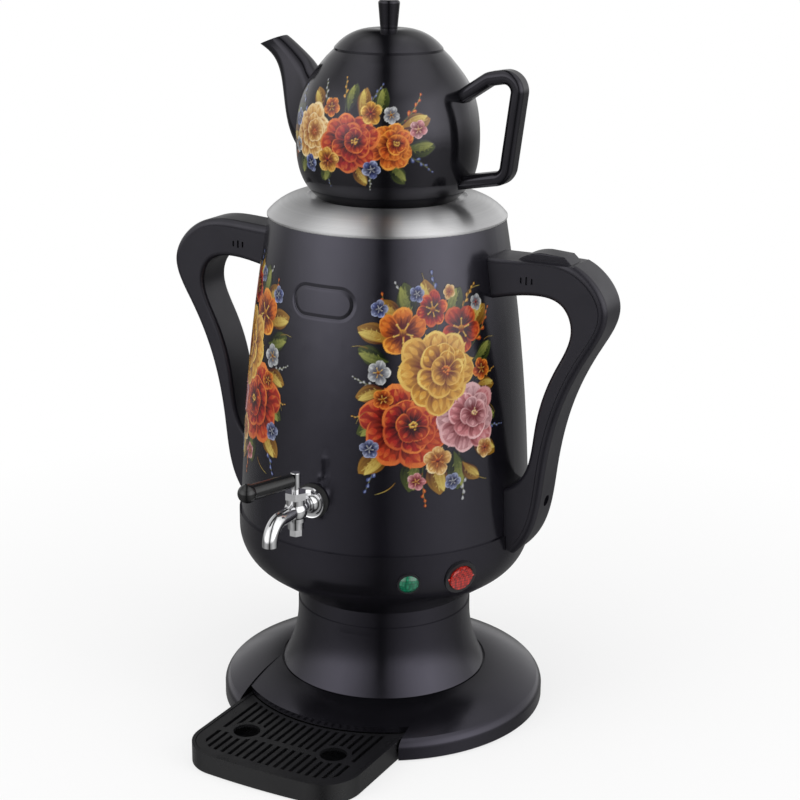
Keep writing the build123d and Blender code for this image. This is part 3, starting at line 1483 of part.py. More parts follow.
with BuildPart() as drip_grille:
    with BuildSketch(Plane.XY.offset(grille_bottom)):
        offset(tray_outline.sketch, amount=grille_ledge - tray_wall - slide_gap)
        Circle(apron_radius + slide_gap, mode=Mode.SUBTRACT)
        with Locations((0, -finger_hole_distance)):
            with GridLocations(finger_hole_spacing, finger_hole_spacing, 2, 1):
                Circle(finger_hole_radius, mode=Mode.SUBTRACT)
        add(slot_field.sketch, mode=Mode.SUBTRACT)
    extrude(amount=grille_thickness)

for name, piece in {
    "wiring": wiring,
    "tap_gasket": tap_gasket,
    "tap_body": tap_body,
    "tap_nut": tap_nut,
    "tap_spout": tap_spout,
    "tap_bonnet": tap_bonnet,
    "tap_plug": tap_plug,
    "tap_bottom_nut": tap_bottom_nut,
    "tap_lever": tap_lever,
    "tap_grip": tap_grip,
    "right_handle_shell": right_handle_shell,
    "right_handle_cover": right_handle_cover,
    "left_handle_shell": left_handle_shell,
    "left_handle_cover": left_handle_cover,
    "handle_screws": handle_screws,
    "cover_screws": cover_screws,
    "lid_latch": lid_latch,
    "tank_lid": tank_lid,
    "lid_skirt": lid_skirt,
    "lid_seal": lid_seal,
    "teapot_body": teapot_body,
    "teapot_spout": teapot_spout,
    "teapot_handle": teapot_handle,
    "teapot_lid": teapot_lid,
    "drip_tray": drip_tray,
    "drip_grille": drip_grille,
    "base_shell": base_shell,
    "base_cover": base_cover,
    "rubber_feet": rubber_feet,
    "base_screws": base_screws,
    "pedestal": pedestal,
    "pedestal_screws": pedestal_screws,
    "neck_collar": neck_collar,
    "bowl": bowl,
    "lamp_holder": lamp_holder,
    "lamp_lens": lamp_lens,
    "switch_housing": switch_housing,
    "switch_rocker": switch_rocker,
    "mains_inlet": mains_inlet,
    "inlet_pins": inlet_pins,
    "body_shell": body_shell,
    "inner_tank": inner_tank,
    "tank_studs": tank_studs,
    "stud_nuts": stud_nuts,
    "heater_plate": heater_plate,
    "heating_element": heating_element,
    "thermostat": thermostat,
    "thermal_fuse": thermal_fuse,
    "terminal_block": terminal_block,
}.items():
    piece.part.label = name
    export_step(piece.part, f"parts/{name}.step")
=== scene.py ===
import bpy
import math
import numpy as np
import random
from mathutils import Matrix, Vector


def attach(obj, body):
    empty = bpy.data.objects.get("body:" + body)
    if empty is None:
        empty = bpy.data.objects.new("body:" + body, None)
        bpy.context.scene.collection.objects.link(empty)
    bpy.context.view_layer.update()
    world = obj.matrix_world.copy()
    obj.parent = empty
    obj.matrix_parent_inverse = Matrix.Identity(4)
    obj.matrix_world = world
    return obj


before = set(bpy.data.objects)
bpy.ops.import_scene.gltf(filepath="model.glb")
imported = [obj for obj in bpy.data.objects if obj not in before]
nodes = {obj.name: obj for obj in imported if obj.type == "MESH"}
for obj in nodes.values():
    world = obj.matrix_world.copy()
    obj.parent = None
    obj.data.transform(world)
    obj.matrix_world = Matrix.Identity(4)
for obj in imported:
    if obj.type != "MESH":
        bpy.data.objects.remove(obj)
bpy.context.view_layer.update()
bpy.ops.object.select_all(action="DESELECT")
print("frame loaded,", len(nodes), "nodes")


# wraps a socket, so shader maths reads as plain sums
class Wire:
    def __init__(self, tree, socket=None):
        self.tree = tree
        self.socket = socket

    def make(self, kind, settings=None, sockets=None, out=0):
        made = self.tree.nodes.new("ShaderNode" + kind)
        for key, value in (settings or {}).items():
            if key == "stops":
                ramp = made.color_ramp
                while len(ramp.elements) < len(value):
                    ramp.elements.new(0.5)
                for stop, (place, colour) in zip(ramp.elements, value):
                    stop.position = place
                    stop.color = colour
            else:
                setattr(made, key, value)
        for key, value in (sockets or {}).items():
            if isinstance(value, Wire):
                self.tree.links.new(value.socket, made.inputs[key])
            else:
                made.inputs[key].default_value = value
        return Wire(self.tree, made.outputs[out] if made.outputs else None)

    # another output of the same node
    def output(self, out):
        return Wire(self.tree, self.socket.node.outputs[out])

    def sum(self, operation, first, second):
        return self.make("Math", {"operation": operation}, {0: first, 1: second})

    def __add__(self, other):
        return self.sum("ADD", self, other)

    def __radd__(self, other):
        return self.sum("ADD", other, self)

    def __sub__(self, other):
        return self.sum("SUBTRACT", self, other)

    def __rsub__(self, other):
        return self.sum("SUBTRACT", other, self)

    def __mul__(self, other):
        return self.sum("MULTIPLY", self, other)

    def __rmul__(self, other):
        return self.sum("MULTIPLY", other, self)

    def __pow__(self, other):
        return self.sum("POWER", self, other)

    def clamp(self, low, high, newLow=0.0, newHigh=1.0):
        return self.make("MapRange", {"clamp": True}, {0: self, 1: low, 2: high, 3: newLow, 4: newHigh})

    def tint(self, first, second):
        return self.make("Mix", {"data_type": "RGBA"}, {0: self, 6: first, 7: second}, out=2)


noiseSpan = (0.3, 0.7)  # nearly all values of a noise lie between these
plainWhite = (1.0, 1.0, 1.0, 1.0)


def startFinish(name):
    material = bpy.data.materials.new(name)
    material.use_nodes = True
    material.node_tree.nodes.clear()
    return material, Wire(material.node_tree)


def closeFinish(wire, sockets):
    shader = wire.make("BsdfPrincipled", None, sockets)
    wire.make("OutputMaterial", None, {0: shader})


def rgba(colour):
    return (colour[0], colour[1], colour[2], 1.0)


def noise(wire, place, scale, detail, rough=0.5):
    return wire.make("TexNoise", None, {"Vector": place, "Scale": scale, "Detail": detail, "Roughness": rough})


def bump(wire, height, strength, distance):
    return wire.make("Bump", None, {"Strength": strength, "Distance": distance, "Height": height})


# soft lips beside the groove that is pressed round the bare badge field, on the body's front alone
def pressedLine(wire, place, badge, skin):
    across = wire.make("SeparateXYZ", None, {0: place}, out="X")
    rise = across.output("Z") - badge["level"]
    past = wire.sum("MAXIMUM", wire.sum("ABSOLUTE", across, 0.0) - badge["straight"] / 2, 0.0)
    away = wire.sum("ABSOLUTE", (past * past + rise * rise) ** 0.5 - badge["radius"], 0.0)
    groove = away.clamp(0.0, badge["lip"])
    level = groove + (1 - groove) * across.output("Y").clamp(-badge["fade"], 0.0)
    return wire.make("Bump", None, {"Strength": 1.0, "Distance": badge["depth"], "Height": level, "Normal": skin})


# moulded or painted surface: soft smudges in the gloss, a fine skin and a faint drift of colour
mouldedLook = {"driftScale": 22.0, "driftDetail": 3.0, "smudgeScale": 60.0, "smudgeDetail": 5.0, "skinDetail": 2.0}


def mouldedFinish(name, look):
    material, wire = startFinish(name)
    place = wire.make("TexCoord", out="Object")
    drift = noise(wire, place, mouldedLook["driftScale"], mouldedLook["driftDetail"])
    smudge = noise(wire, place, mouldedLook["smudgeScale"], mouldedLook["smudgeDetail"])
    skin = noise(wire, place, look["skinScale"], mouldedLook["skinDetail"])
    normal = bump(wire, skin, look["skin"], look["skinDepth"])
    if "badge" in look:
        normal = pressedLine(wire, place, look["badge"], normal)
    glossiest, dullest = look["rough"] - look["roughDrift"], look["rough"] + look["roughDrift"]
    sockets = {
        "Base Color": drift.clamp(*noiseSpan).tint(rgba(look["colour"]), rgba(look["deep"])),
        "Roughness": smudge.clamp(*noiseSpan, glossiest, dullest),
        "Normal": normal,
    }
    sockets.update(look.get("sockets", {}))
    closeFinish(wire, sockets)
    return material


# turned sheet metal: fine rings round the upright axis
spunLook = {"ringDetail": 4.0, "ringRough": 0.7, "ringShare": 0.6, "cloudScale": 35.0, "cloudDetail": 4.0,
            "cloudShare": 0.4, "roughDrift": 0.07, "turn": 0.25, "skinDepth": 0.00005}


def spunFinish(name, look):
    material, wire = startFinish(name)
    place = wire.make("TexCoord", out="Object")
    across = wire.make("SeparateXYZ", None, {0: place}, out="X")
    along, height = across.output("Y"), across.output("Z")
    radius = (across * across + along * along) ** 0.5
    rings = wire.make("CombineXYZ", None, {0: radius * look["ringScale"], 1: height * look["ringScale"]})
    lines = noise(wire, rings, 1.0, spunLook["ringDetail"], spunLook["ringRough"])
    cloud = noise(wire, place, spunLook["cloudScale"], spunLook["cloudDetail"])
    wear = lines * spunLook["ringShare"] + cloud * spunLook["cloudShare"]
    glossiest, dullest = look["rough"] - spunLook["roughDrift"], look["rough"] + spunLook["roughDrift"]
    closeFinish(wire, {
        "Base Color": lines.clamp(*noiseSpan).tint(rgba(look["colour"]), rgba(look["deep"])),
        "Metallic": 1.0,
        "Roughness": wear.clamp(*noiseSpan, glossiest, dullest),
        "Anisotropic": look["aniso"],
        "Anisotropic Rotation": spunLook["turn"],
        "Normal": bump(wire, lines, look["skin"], spunLook["skinDepth"]),
    })
    return material


# polished or plain metal with faint wear
metalLook = {"cloudDetail": 6.0, "cloudRough": 0.65, "tintSpan": (0.35, 0.7), "roughSpan": (0.3, 0.75),
             "skinScale": 1400.0, "skinDetail": 2.0, "skinDepth": 0.00004}


def metalFinish(name, look):
    material, wire = startFinish(name)
    place = wire.make("TexCoord", out="Object")
    cloud = noise(wire, place, look["cloudScale"], metalLook["cloudDetail"], metalLook["cloudRough"])
    fine = noise(wire, place, metalLook["skinScale"], metalLook["skinDetail"])
    dullest = look["rough"] + look["roughDrift"]
    closeFinish(wire, {
        "Base Color": cloud.clamp(*metalLook["tintSpan"]).tint(rgba(look["colour"]), rgba(look["deep"])),
        "Metallic": 1.0,
        "Roughness": cloud.clamp(*metalLook["roughSpan"], look["rough"], dullest),
        "Normal": bump(wire, fine, look["skin"], metalLook["skinDepth"]),
    })
    return material


# clear coloured plastic over a moulded pattern of small cells, with painted glints: each cell's middle is lighter in
# colour and glows faintly, standing in for light caught in the plastic
lensLook = {"scatter": 0.25, "paintedGlintSpan": (0.1, 0.7), "roughDrift": 0.1, "specular": 0.6, "coat": 0.5,
            "coatRough": 0.05, "skin": 0.35, "skinDepth": 0.0003}


def lensFinish(name, look):
    material, wire = startFinish(name)
    place = wire.make("TexCoord", out="Object")
    cells = wire.make("TexVoronoi", {"feature": "F1"}, {
        0: place, "Scale": look["cellScale"], "Randomness": lensLook["scatter"]})
    # painted glints: lighter colour and a faint emission at each cell's middle, darker colour at its edges
    glow = cells.clamp(*lensLook["paintedGlintSpan"])
    closeFinish(wire, {
        "Base Color": glow.tint(rgba(look["colour"]), rgba(look["deep"])),
        "Roughness": cells.clamp(0.0, 1.0, look["rough"], look["rough"] + lensLook["roughDrift"]),
        "Specular IOR Level": lensLook["specular"],
        "Emission Color": glow.tint(rgba(look["glow"]), rgba(look["deep"])),
        "Emission Strength": look["glowStrength"],
        "Coat Weight": lensLook["coat"],
        "Coat Roughness": lensLook["coatRough"],
        "Normal": bump(wire, cells, lensLook["skin"], lensLook["skinDepth"]),
    })
    return material


finishes = {
    "bodyEnamel": {
        "make": mouldedFinish, "nodes": ["body_shell"],
        "colour": (0.0062, 0.0058, 0.0082), "deep": (0.0045, 0.0042, 0.006),
        "rough": 0.19, "roughDrift": 0.03, "skinScale": 420.0, "skin": 0.03, "skinDepth": 0.0002,
        "badge": {"level": 0.302, "straight": 0.024, "radius": 0.0093, "lip": 0.0022, "depth": 0.00055, "fade": 0.02},
        "sockets": {"Specular IOR Level": 0.62, "Specular Tint": (0.84, 0.81, 1.0, 1.0),
                    "Coat Weight": 0.1, "Coat Roughness": 0.08}},
    "glossBlack": {
        "make": mouldedFinish, "nodes": ["bowl", "neck_collar", "pedestal", "base_shell"],
        "colour": (0.0058, 0.0055, 0.0072), "deep": (0.0042, 0.0041, 0.0052),
        "rough": 0.22, "roughDrift": 0.04, "skinScale": 900.0, "skin": 0.04, "skinDepth": 0.0001,
        "sockets": {"Specular IOR Level": 0.55, "Specular Tint": (0.84, 0.8, 1.0, 1.0)}},
    "handleBlack": {
        "make": mouldedFinish,
        "nodes": ["right_handle_shell", "left_handle_shell", "right_handle_cover", "left_handle_cover", "lid_latch"],
        "colour": (0.0095, 0.0088, 0.0125), "deep": (0.007, 0.0066, 0.0092),
        "rough": 0.34, "roughDrift": 0.05, "skinScale": 2600.0, "skin": 0.22, "skinDepth": 0.00008,
        "sockets": {"Specular IOR Level": 0.45, "Specular Tint": (0.92, 0.9, 1.0, 1.0)}},
    "trayBlack": {
        "make": mouldedFinish, "nodes": ["drip_tray", "drip_grille"],
        "colour": (0.0105, 0.0105, 0.0115), "deep": (0.0075, 0.0075, 0.0085),
        "rough": 0.3, "roughDrift": 0.06, "skinScale": 1600.0, "skin": 0.14, "skinDepth": 0.0001,
        "sockets": {"Specular IOR Level": 0.5}},
    "gripBlack": {
        "make": mouldedFinish, "nodes": ["tap_grip"],
        "colour": (0.007, 0.007, 0.0075), "deep": (0.005, 0.005, 0.0055),
        "rough": 0.2, "roughDrift": 0.05, "skinScale": 1200.0, "skin": 0.06, "skinDepth": 0.0001,
        "sockets": {"Specular IOR Level": 0.5}},
    "potGlaze": {
        "make": mouldedFinish, "nodes": ["teapot_body", "teapot_spout", "teapot_handle", "teapot_lid"],
        "colour": (0.0045, 0.0043, 0.0055), "deep": (0.0034, 0.0033, 0.0042),
        "rough": 0.14, "roughDrift": 0.03, "skinScale": 160.0, "skin": 0.05, "skinDepth": 0.0003,
        "sockets": {"Specular IOR Level": 0.45, "Specular Tint": (0.9, 0.87, 1.0, 1.0)}},
    "innerBlack": {
        "make": mouldedFinish, "nodes": ["base_cover", "mains_inlet", "thermostat"],
        "colour": (0.018, 0.018, 0.019), "deep": (0.012, 0.012, 0.013),
        "rough": 0.5, "roughDrift": 0.06, "skinScale": 1800.0, "skin": 0.25, "skinDepth": 0.0001},
    "bezelBlack": {
        "make": mouldedFinish, "nodes": ["lamp_holder", "switch_housing"],
        "colour": (0.014, 0.014, 0.016), "deep": (0.009, 0.009, 0.011),
        "rough": 0.3, "roughDrift": 0.05, "skinScale": 2000.0, "skin": 0.12, "skinDepth": 0.00008},
    "footRubber": {
        "make": mouldedFinish, "nodes": ["rubber_feet", "tap_gasket"],
        "colour": (0.016, 0.016, 0.016), "deep": (0.01, 0.01, 0.01),
        "rough": 0.7, "roughDrift": 0.08, "skinScale": 1500.0, "skin": 0.3, "skinDepth": 0.0001},
    "sealRubber": {
        "make": mouldedFinish, "nodes": ["lid_seal"],
        "colour": (0.62, 0.61, 0.58), "deep": (0.5, 0.49, 0.46),
        "rough": 0.55, "roughDrift": 0.08, "skinScale": 1500.0, "skin": 0.2, "skinDepth": 0.0001},
    "wireCover": {
        "make": mouldedFinish, "nodes": ["wiring"],
        "colour": (0.42, 0.4, 0.37), "deep": (0.3, 0.29, 0.27),
        "rough": 0.5, "roughDrift": 0.08, "skinScale": 2400.0, "skin": 0.3, "skinDepth": 0.0001},
    "blockPlastic": {
        "make": mouldedFinish, "nodes": ["terminal_block"],
        "colour": (0.66, 0.64, 0.58), "deep": (0.55, 0.53, 0.48),
        "rough": 0.45, "roughDrift": 0.06, "skinScale": 1600.0, "skin": 0.15, "skinDepth": 0.0001},
    "fuseCeramic": {
        "make": mouldedFinish, "nodes": ["thermal_fuse"],
        "colour": (0.72, 0.7, 0.66), "deep": (0.62, 0.6, 0.56),
        "rough": 0.6, "roughDrift": 0.08, "skinScale": 1600.0, "skin": 0.2, "skinDepth": 0.0001},
    "lidSteel": {
        "make": spunFinish, "nodes": ["tank_lid", "lid_skirt"],
        "colour": (0.62, 0.62, 0.625), "deep": (0.47, 0.47, 0.475),
        "rough": 0.34, "aniso": 0.92, "ringScale": 2600.0, "skin": 0.25},
    "tankSteel": {
        "make": spunFinish, "nodes": ["inner_tank", "heating_element"],
        "colour": (0.55, 0.55, 0.55), "deep": (0.42, 0.42, 0.42),
        "rough": 0.36, "aniso": 0.3, "ringScale": 1500.0, "skin": 0.2},
    "tapChrome": {
        "make": metalFinish,
        "nodes": ["tap_body", "tap_spout", "tap_bonnet", "tap_plug", "tap_bottom_nut", "tap_lever"],
        "colour": (0.72, 0.72, 0.73), "deep": (0.6, 0.6, 0.61),
        "rough": 0.05, "roughDrift": 0.06, "cloudScale": 140.0, "skin": 0.02},
    "screwSteel": {
        "make": metalFinish,
        "nodes": ["base_screws", "pedestal_screws", "handle_screws", "tank_studs", "stud_nuts", "tap_nut"],
        "colour": (0.5, 0.5, 0.5), "deep": (0.34, 0.34, 0.34),
        "rough": 0.25, "roughDrift": 0.15, "cloudScale": 300.0, "skin": 0.15},
    "screwBlack": {
        "make": metalFinish, "nodes": ["cover_screws"],
        "colour": (0.03, 0.03, 0.032), "deep": (0.016, 0.016, 0.018),
        "rough": 0.35, "roughDrift": 0.15, "cloudScale": 300.0, "skin": 0.15},
    "heaterMetal": {
        "make": metalFinish, "nodes": ["heater_plate"],
        "colour": (0.62, 0.62, 0.63), "deep": (0.45, 0.45, 0.46),
        "rough": 0.35, "roughDrift": 0.15, "cloudScale": 90.0, "skin": 0.2},
    "pinBrass": {
        "make": metalFinish, "nodes": ["inlet_pins"],
        "colour": (0.7, 0.55, 0.27), "deep": (0.5, 0.37, 0.16),
        "rough": 0.22, "roughDrift": 0.12, "cloudScale": 200.0, "skin": 0.1},
    # lamp lens and rocker: the glow colour and its strength are painted light, a faint emission that stands in for
    # glints
    "lampGreen": {
        "make": lensFinish, "nodes": ["lamp_lens"],
        "colour": (0.005, 0.16, 0.08), "deep": (0.002, 0.07, 0.034), "glow": (0.01, 0.3, 0.15),
        "glowStrength": 0.12, "rough": 0.12, "cellScale": 520.0},
    "switchRed": {
        "make": lensFinish, "nodes": ["switch_rocker"],
        "colour": (0.42, 0.012, 0.006), "deep": (0.13, 0.002, 0.002), "glow": (0.95, 0.05, 0.02),
        "glowStrength": 0.2, "rough": 0.14, "cellScale": 520.0},
}

for finishName, look in finishes.items():
    finish = look["make"](finishName, look)
    for name in look["nodes"]:
        mesh = nodes[name].data
        mesh.materials.clear()
        mesh.materials.append(finish)
print("finishes set on", sum(len(look["nodes"]) for look in finishes.values()), "nodes")


# painted sprays: strokes laid one over another on a fine canvas in millimetres, which is then wrapped on the wall
canvas = {"cell": 0.5, "perMetre": 1000, "lift": 0.00007, "bare": 0.01}
brush = {"reach": 1.1, "ends": (0.001, 0.999), "thin": 0.1, "phase": 6.3, "hairs": (5, 13), "bristle": 0.13,
         "shade": 0.34, "full": 0.98}
outlines = {
    "petal": lambda t: np.sin(np.pi * t ** 1.55) ** 0.65,
    "leaf": lambda t: np.sin(np.pi * t ** 0.8) ** 1.15,
    "dab": lambda t: np.sin(np.pi * t ** 1.2) ** 0.8,
    "dot": lambda t: 2 * np.sqrt(t * (1 - t)),
    "line": lambda t: 0.45 + 0.55 * np.sin(np.pi * t),
}
paints = {  # deep, full, lit
    "red": ((0.028, 0.0007, 0.0012), (0.31, 0.011, 0.009), (0.72, 0.22, 0.04)),
    "coral": ((0.075, 0.003, 0.001), (0.5, 0.075, 0.01), (0.78, 0.36, 0.05)),
    "gold": ((0.12, 0.018, 0.001), (0.52, 0.24, 0.018), (0.78, 0.6, 0.16)),
    "cream": ((0.2, 0.05, 0.01), (0.58, 0.34, 0.11), (0.8, 0.68, 0.4)),
    "rose": ((0.12, 0.004, 0.008), (0.5, 0.15, 0.16), (0.78, 0.5, 0.5)),
    "ochre": ((0.055, 0.011, 0.002), (0.26, 0.13, 0.014), (0.58, 0.46, 0.11)),
    "green": ((0.004, 0.008, 0.002), (0.05, 0.065, 0.01), (0.26, 0.27, 0.06)),
    "blue": ((0.004, 0.006, 0.035), (0.06, 0.085, 0.25), (0.42, 0.48, 0.66)),
    "white": ((0.07, 0.07, 0.09), (0.36, 0.37, 0.38), (0.74, 0.74, 0.7)),
}
# each petal drifts some way to a neighbouring paint
warmer = {"red": "coral", "coral": "gold", "gold": "cream", "rose": "white", "cream": "gold", "blue": "white"}


def newSpray(seed, width, height):
    x = np.arange(-width / 2, width / 2, canvas["cell"])
    y = np.arange(-height / 2, height / 2, canvas["cell"])
    return {"x": x, "y": y, "paint": np.zeros((len(y), len(x), 4)), "dice": random.Random(seed)}


def polar(degrees):
    return math.cos(math.radians(degrees)), math.sin(math.radians(degrees))


def mixPaint(first, second, share):
    return [first[i] + (second[i] - first[i]) * share for i in range(3)]


# point at a share of a bent stroke's length
def alongStroke(x, y, heading, length, bend, share, aside=0.0):
    ahead = polar(heading)
    side = aside + bend * length * share * share
    return x + ahead[0] * share * length - ahead[1] * side, y + ahead[1] * share * length + ahead[0] * side


# one stroke of the brush: root to tip colour along it, with bristle marks, soft at its edge
def stamp(spray, outline, x, y, heading, length, width, root, tip, bend=0.0):
    ahead = polar(heading)
    reach = length * (brush["reach"] + abs(bend)) + width
    left, right = np.searchsorted(spray["x"], (x - reach, x + reach))
    low, high = np.searchsorted(spray["y"], (y - reach, y + reach))
    across = spray["x"][None, left:right] - x
    up = spray["y"][low:high, None] - y
    t = (across * ahead[0] + up * ahead[1]) / length
    along = np.clip(t, *brush["ends"])
    side = up * ahead[0] - across * ahead[1] - bend * length * t * t
    half = width / 2 * outlines[outline](along)
    cover = np.clip((half - np.abs(side)) / canvas["cell"] + 0.5, 0, 1)
    cover = cover * np.clip(np.minimum(t, 1 - t) * length / canvas["cell"] + 0.5, 0, 1)
    phase = spray["dice"].uniform(0, brush["phase"])
    place = side / np.maximum(half, brush["thin"])
    coarse, fine = brush["hairs"]
    bristle = np.sin(place * coarse + phase) * np.sin(place * fine + phase * 2 + along * 2)
    lit = along + bristle * brush["bristle"] - brush["shade"]
    blend = np.clip(lit / (brush["full"] - brush["shade"]), 0, 1)[..., None]
    colour = np.array(root) * (1 - blend) + np.array(tip) * blend
    block = spray["paint"][low:high, left:right]
    share = np.where(block[..., 3:] > 0, cover[..., None], cover[..., None] > 0)  # a bare cell takes the full colour
    block[..., :3] += (colour - block[..., :3]) * share
    block[..., 3] = np.maximum(block[..., 3], cover)


def disc(spray, x, y, size, root, tip):
    stamp(spray, "dot", x, y - size, 90, 2 * size, 2 * size, root, tip)


# petal: a lit edge, a body that darkens to its root and a few tapered licks of light
petalLook = {"bend": 0.14, "drift": 0.42, "bright": (0.35, 1.0), "slip": 0.07, "innerLength": (0.86, 0.97),
             "innerWidth": 0.9, "lickStray": 0.07, "lickStart": 0.5, "lickRise": 0.22, "lickSpread": 0.6,
             "lickFan": 30, "lickTurn": 60, "lickLength": (0.3, 0.42), "lickWidth": (0.12, 0.24)}


def petal(spray, x, y, heading, length, width, paint, licks):
    deep, full, lit = paints[paint]
    dice = spray["dice"]
    ahead = polar(heading)
    bend = dice.uniform(-petalLook["bend"], petalLook["bend"])
    full = mixPaint(full, paints[warmer.get(paint, paint)][1], dice.uniform(0, petalLook["drift"]))
    edge = mixPaint(full, lit, dice.uniform(*petalLook["bright"]))
    stamp(spray, "petal", x, y, heading, length, width, full, edge, bend)
    slip = dice.uniform(-petalLook["slip"], petalLook["slip"]) * width
    stamp(spray, "petal", x - ahead[1] * slip, y + ahead[0] * slip, heading,
          length * dice.uniform(*petalLook["innerLength"]), width * petalLook["innerWidth"], deep, full, bend)
    for index in range(licks):
        share = (index + 0.5) / licks - 0.5 + dice.uniform(-petalLook["lickStray"], petalLook["lickStray"])
        start = petalLook["lickStart"] + petalLook["lickRise"] * abs(share)
        spot = alongStroke(x, y, heading, length, bend, start, share * width * petalLook["lickSpread"])
        angle = heading + share * petalLook["lickFan"] + bend * petalLook["lickTurn"]
        stamp(spray, "leaf", *spot, angle, length * dice.uniform(*petalLook["lickLength"]),
              width * dice.uniform(*petalLook["lickWidth"]), full, edge)


# full bloom: three rows of broad petals, each row set off to one side, round a dotted heart
bloomLook = {"rows": ((8, 0.16, 0.86, 0.74), (6, 0.08, 0.64, 0.62), (5, 0.02, 0.42, 0.46)),  # count, start, size
             "offset": 0.12, "stray": 0.16, "twist": 310, "length": (0.84, 1.1), "width": (0.85, 1.12), "licks": 3,
             "dots": 9, "dotTurn": 40, "dotReach": (0.03, 0.12), "dotSize": (0.02, 0.035)}


def bloom(spray, x, y, size, paint, heading, heart):
    dice = spray["dice"]
    lean = polar(heading)
    for row, (count, start, length, width) in enumerate(bloomLook["rows"]):
        middle = (x + lean[0] * bloomLook["offset"] * row * size, y + lean[1] * bloomLook["offset"] * row * size)
        for index in range(count):
            stray = dice.uniform(-bloomLook["stray"], bloomLook["stray"])
            angle = heading + (index + stray) * 360 / count + start * bloomLook["twist"]
            way = polar(angle)
            petal(spray, middle[0] + way[0] * start * size, middle[1] + way[1] * start * size, angle,
                  length * size * dice.uniform(*bloomLook["length"]),
                  width * size * dice.uniform(*bloomLook["width"]), paint, bloomLook["licks"] - row)
    for index in range(bloomLook["dots"]):
        way = polar(heading + index * bloomLook["dotTurn"])
        reach = dice.uniform(*bloomLook["dotReach"]) * size
        disc(spray, middle[0] + way[0] * reach, middle[1] + way[1] * reach,
             dice.uniform(*bloomLook["dotSize"]) * size, paints[heart][1], paints[heart][2])


# open flower: a few broad petals, threads with dotted ends and a dark heart
flowerLook = {"stray": 0.06, "start": 0.05, "length": (0.86, 1.0), "width": 4.2, "large": 8, "largeLicks": 3,
              "smallLicks": 1, "thread": 0.36, "threadWidth": 0.045, "dotReach": 0.38, "dotSize": 0.045, "heart": 0.14}


def openFlower(spray, x, y, size, paint, heading, heart, count=5):
    dice = spray["dice"]
    deep, full, lit = paints[heart]
    licks = flowerLook["largeLicks"] if size > flowerLook["large"] else flowerLook["smallLicks"]
    for index in range(count):
        angle = heading + (index + dice.uniform(-flowerLook["stray"], flowerLook["stray"])) * 360 / count
        way = polar(angle)
        petal(spray, x + way[0] * flowerLook["start"] * size, y + way[1] * flowerLook["start"] * size, angle,
              size * dice.uniform(*flowerLook["length"]), flowerLook["width"] / count * size, paint, licks)
    for index in range(count):
        angle = heading + (index + 0.5) * 360 / count
        way = polar(angle)
        stamp(spray, "line", x, y, angle, flowerLook["thread"] * size, flowerLook["threadWidth"] * size, full, lit)
        disc(spray, x + way[0] * flowerLook["dotReach"] * size, y + way[1] * flowerLook["dotReach"] * size,
             flowerLook["dotSize"] * size, full, lit)
    disc(spray, x, y, flowerLook["heart"] * size, deep, full)


# leaf: dark blade, a lit half and pale veins
leafLook = {"width": 0.56, "litTurn": 7, "litLength": 0.94, "litWidth": 0.26, "veins": (0.25, 0.42, 0.58, 0.72),
            "veinTurn": 42, "veinBend": 60, "veinLength": 0.2, "veinTaper": 1.15, "veinWidth": 0.022,
            "ribLength": 0.9, "ribWidth": 0.03}


def leaf(spray, x, y, heading, length, paint, bend):
    deep, full, lit = paints[paint]
    stamp(spray, "dab", x, y, heading, length, length * leafLook["width"], deep, full, bend)
    stamp(spray, "dab", x, y, heading + leafLook["litTurn"], length * leafLook["litLength"],
          length * leafLook["litWidth"], full, lit, bend)
    for share in leafLook["veins"]:
        spot = alongStroke(x, y, heading, length, bend, share)
        for lean in (-leafLook["veinTurn"], leafLook["veinTurn"]):
            stamp(spray, "line", *spot, heading + lean + bend * leafLook["veinBend"] * share,
                  length * leafLook["veinLength"] * (leafLook["veinTaper"] - share),
                  length * leafLook["veinWidth"], full, lit)
    stamp(spray, "line", x, y, heading, length * leafLook["ribLength"], length * leafLook["ribWidth"], full, lit, bend)


# sprig: a bent stem with buds to both sides, smaller to its end
sprigLook = {"stemWidth": 0.8, "firstBud": 0.3, "budStretch": 0.7, "budBend": 90, "budTurn": 48, "budTaper": 1.1,
             "budLength": 0.2, "budShrink": 0.1, "budWidth": 0.62, "litTurn": 6, "litLength": 0.8, "litWidth": 0.26}


def sprig(spray, x, y, heading, length, paint, bend, buds):
    deep, full, lit = paints[paint]
    stem = paints["green"]
    stamp(spray, "line", x, y, heading, length, sprigLook["stemWidth"], stem[1], stem[2], bend)
    for index in range(buds):
        share = sprigLook["firstBud"] + sprigLook["budStretch"] * index / (buds - 1)
        spot = alongStroke(x, y, heading, length, bend, share)
        turned = sprigLook["budTurn"] if index % 2 else -sprigLook["budTurn"]
        lean = heading + bend * sprigLook["budBend"] * share + turned * (sprigLook["budTaper"] - share)
        size = length * (sprigLook["budLength"] - sprigLook["budShrink"] * share)
        stamp(spray, "petal", *spot, lean, size, size * sprigLook["budWidth"], deep, full)
        stamp(spray, "dab", *spot, lean + sprigLook["litTurn"], size * sprigLook["litLength"],
              size * sprigLook["litWidth"], full, lit)


curlLook = {"paint": "ochre", "width": 0.045}


def curl(spray, x, y, heading, length, bend):
    full, lit = paints[curlLook["paint"]][1:]
    stamp(spray, "line", x, y, heading, length, length * curlLook["width"], full, lit, bend)


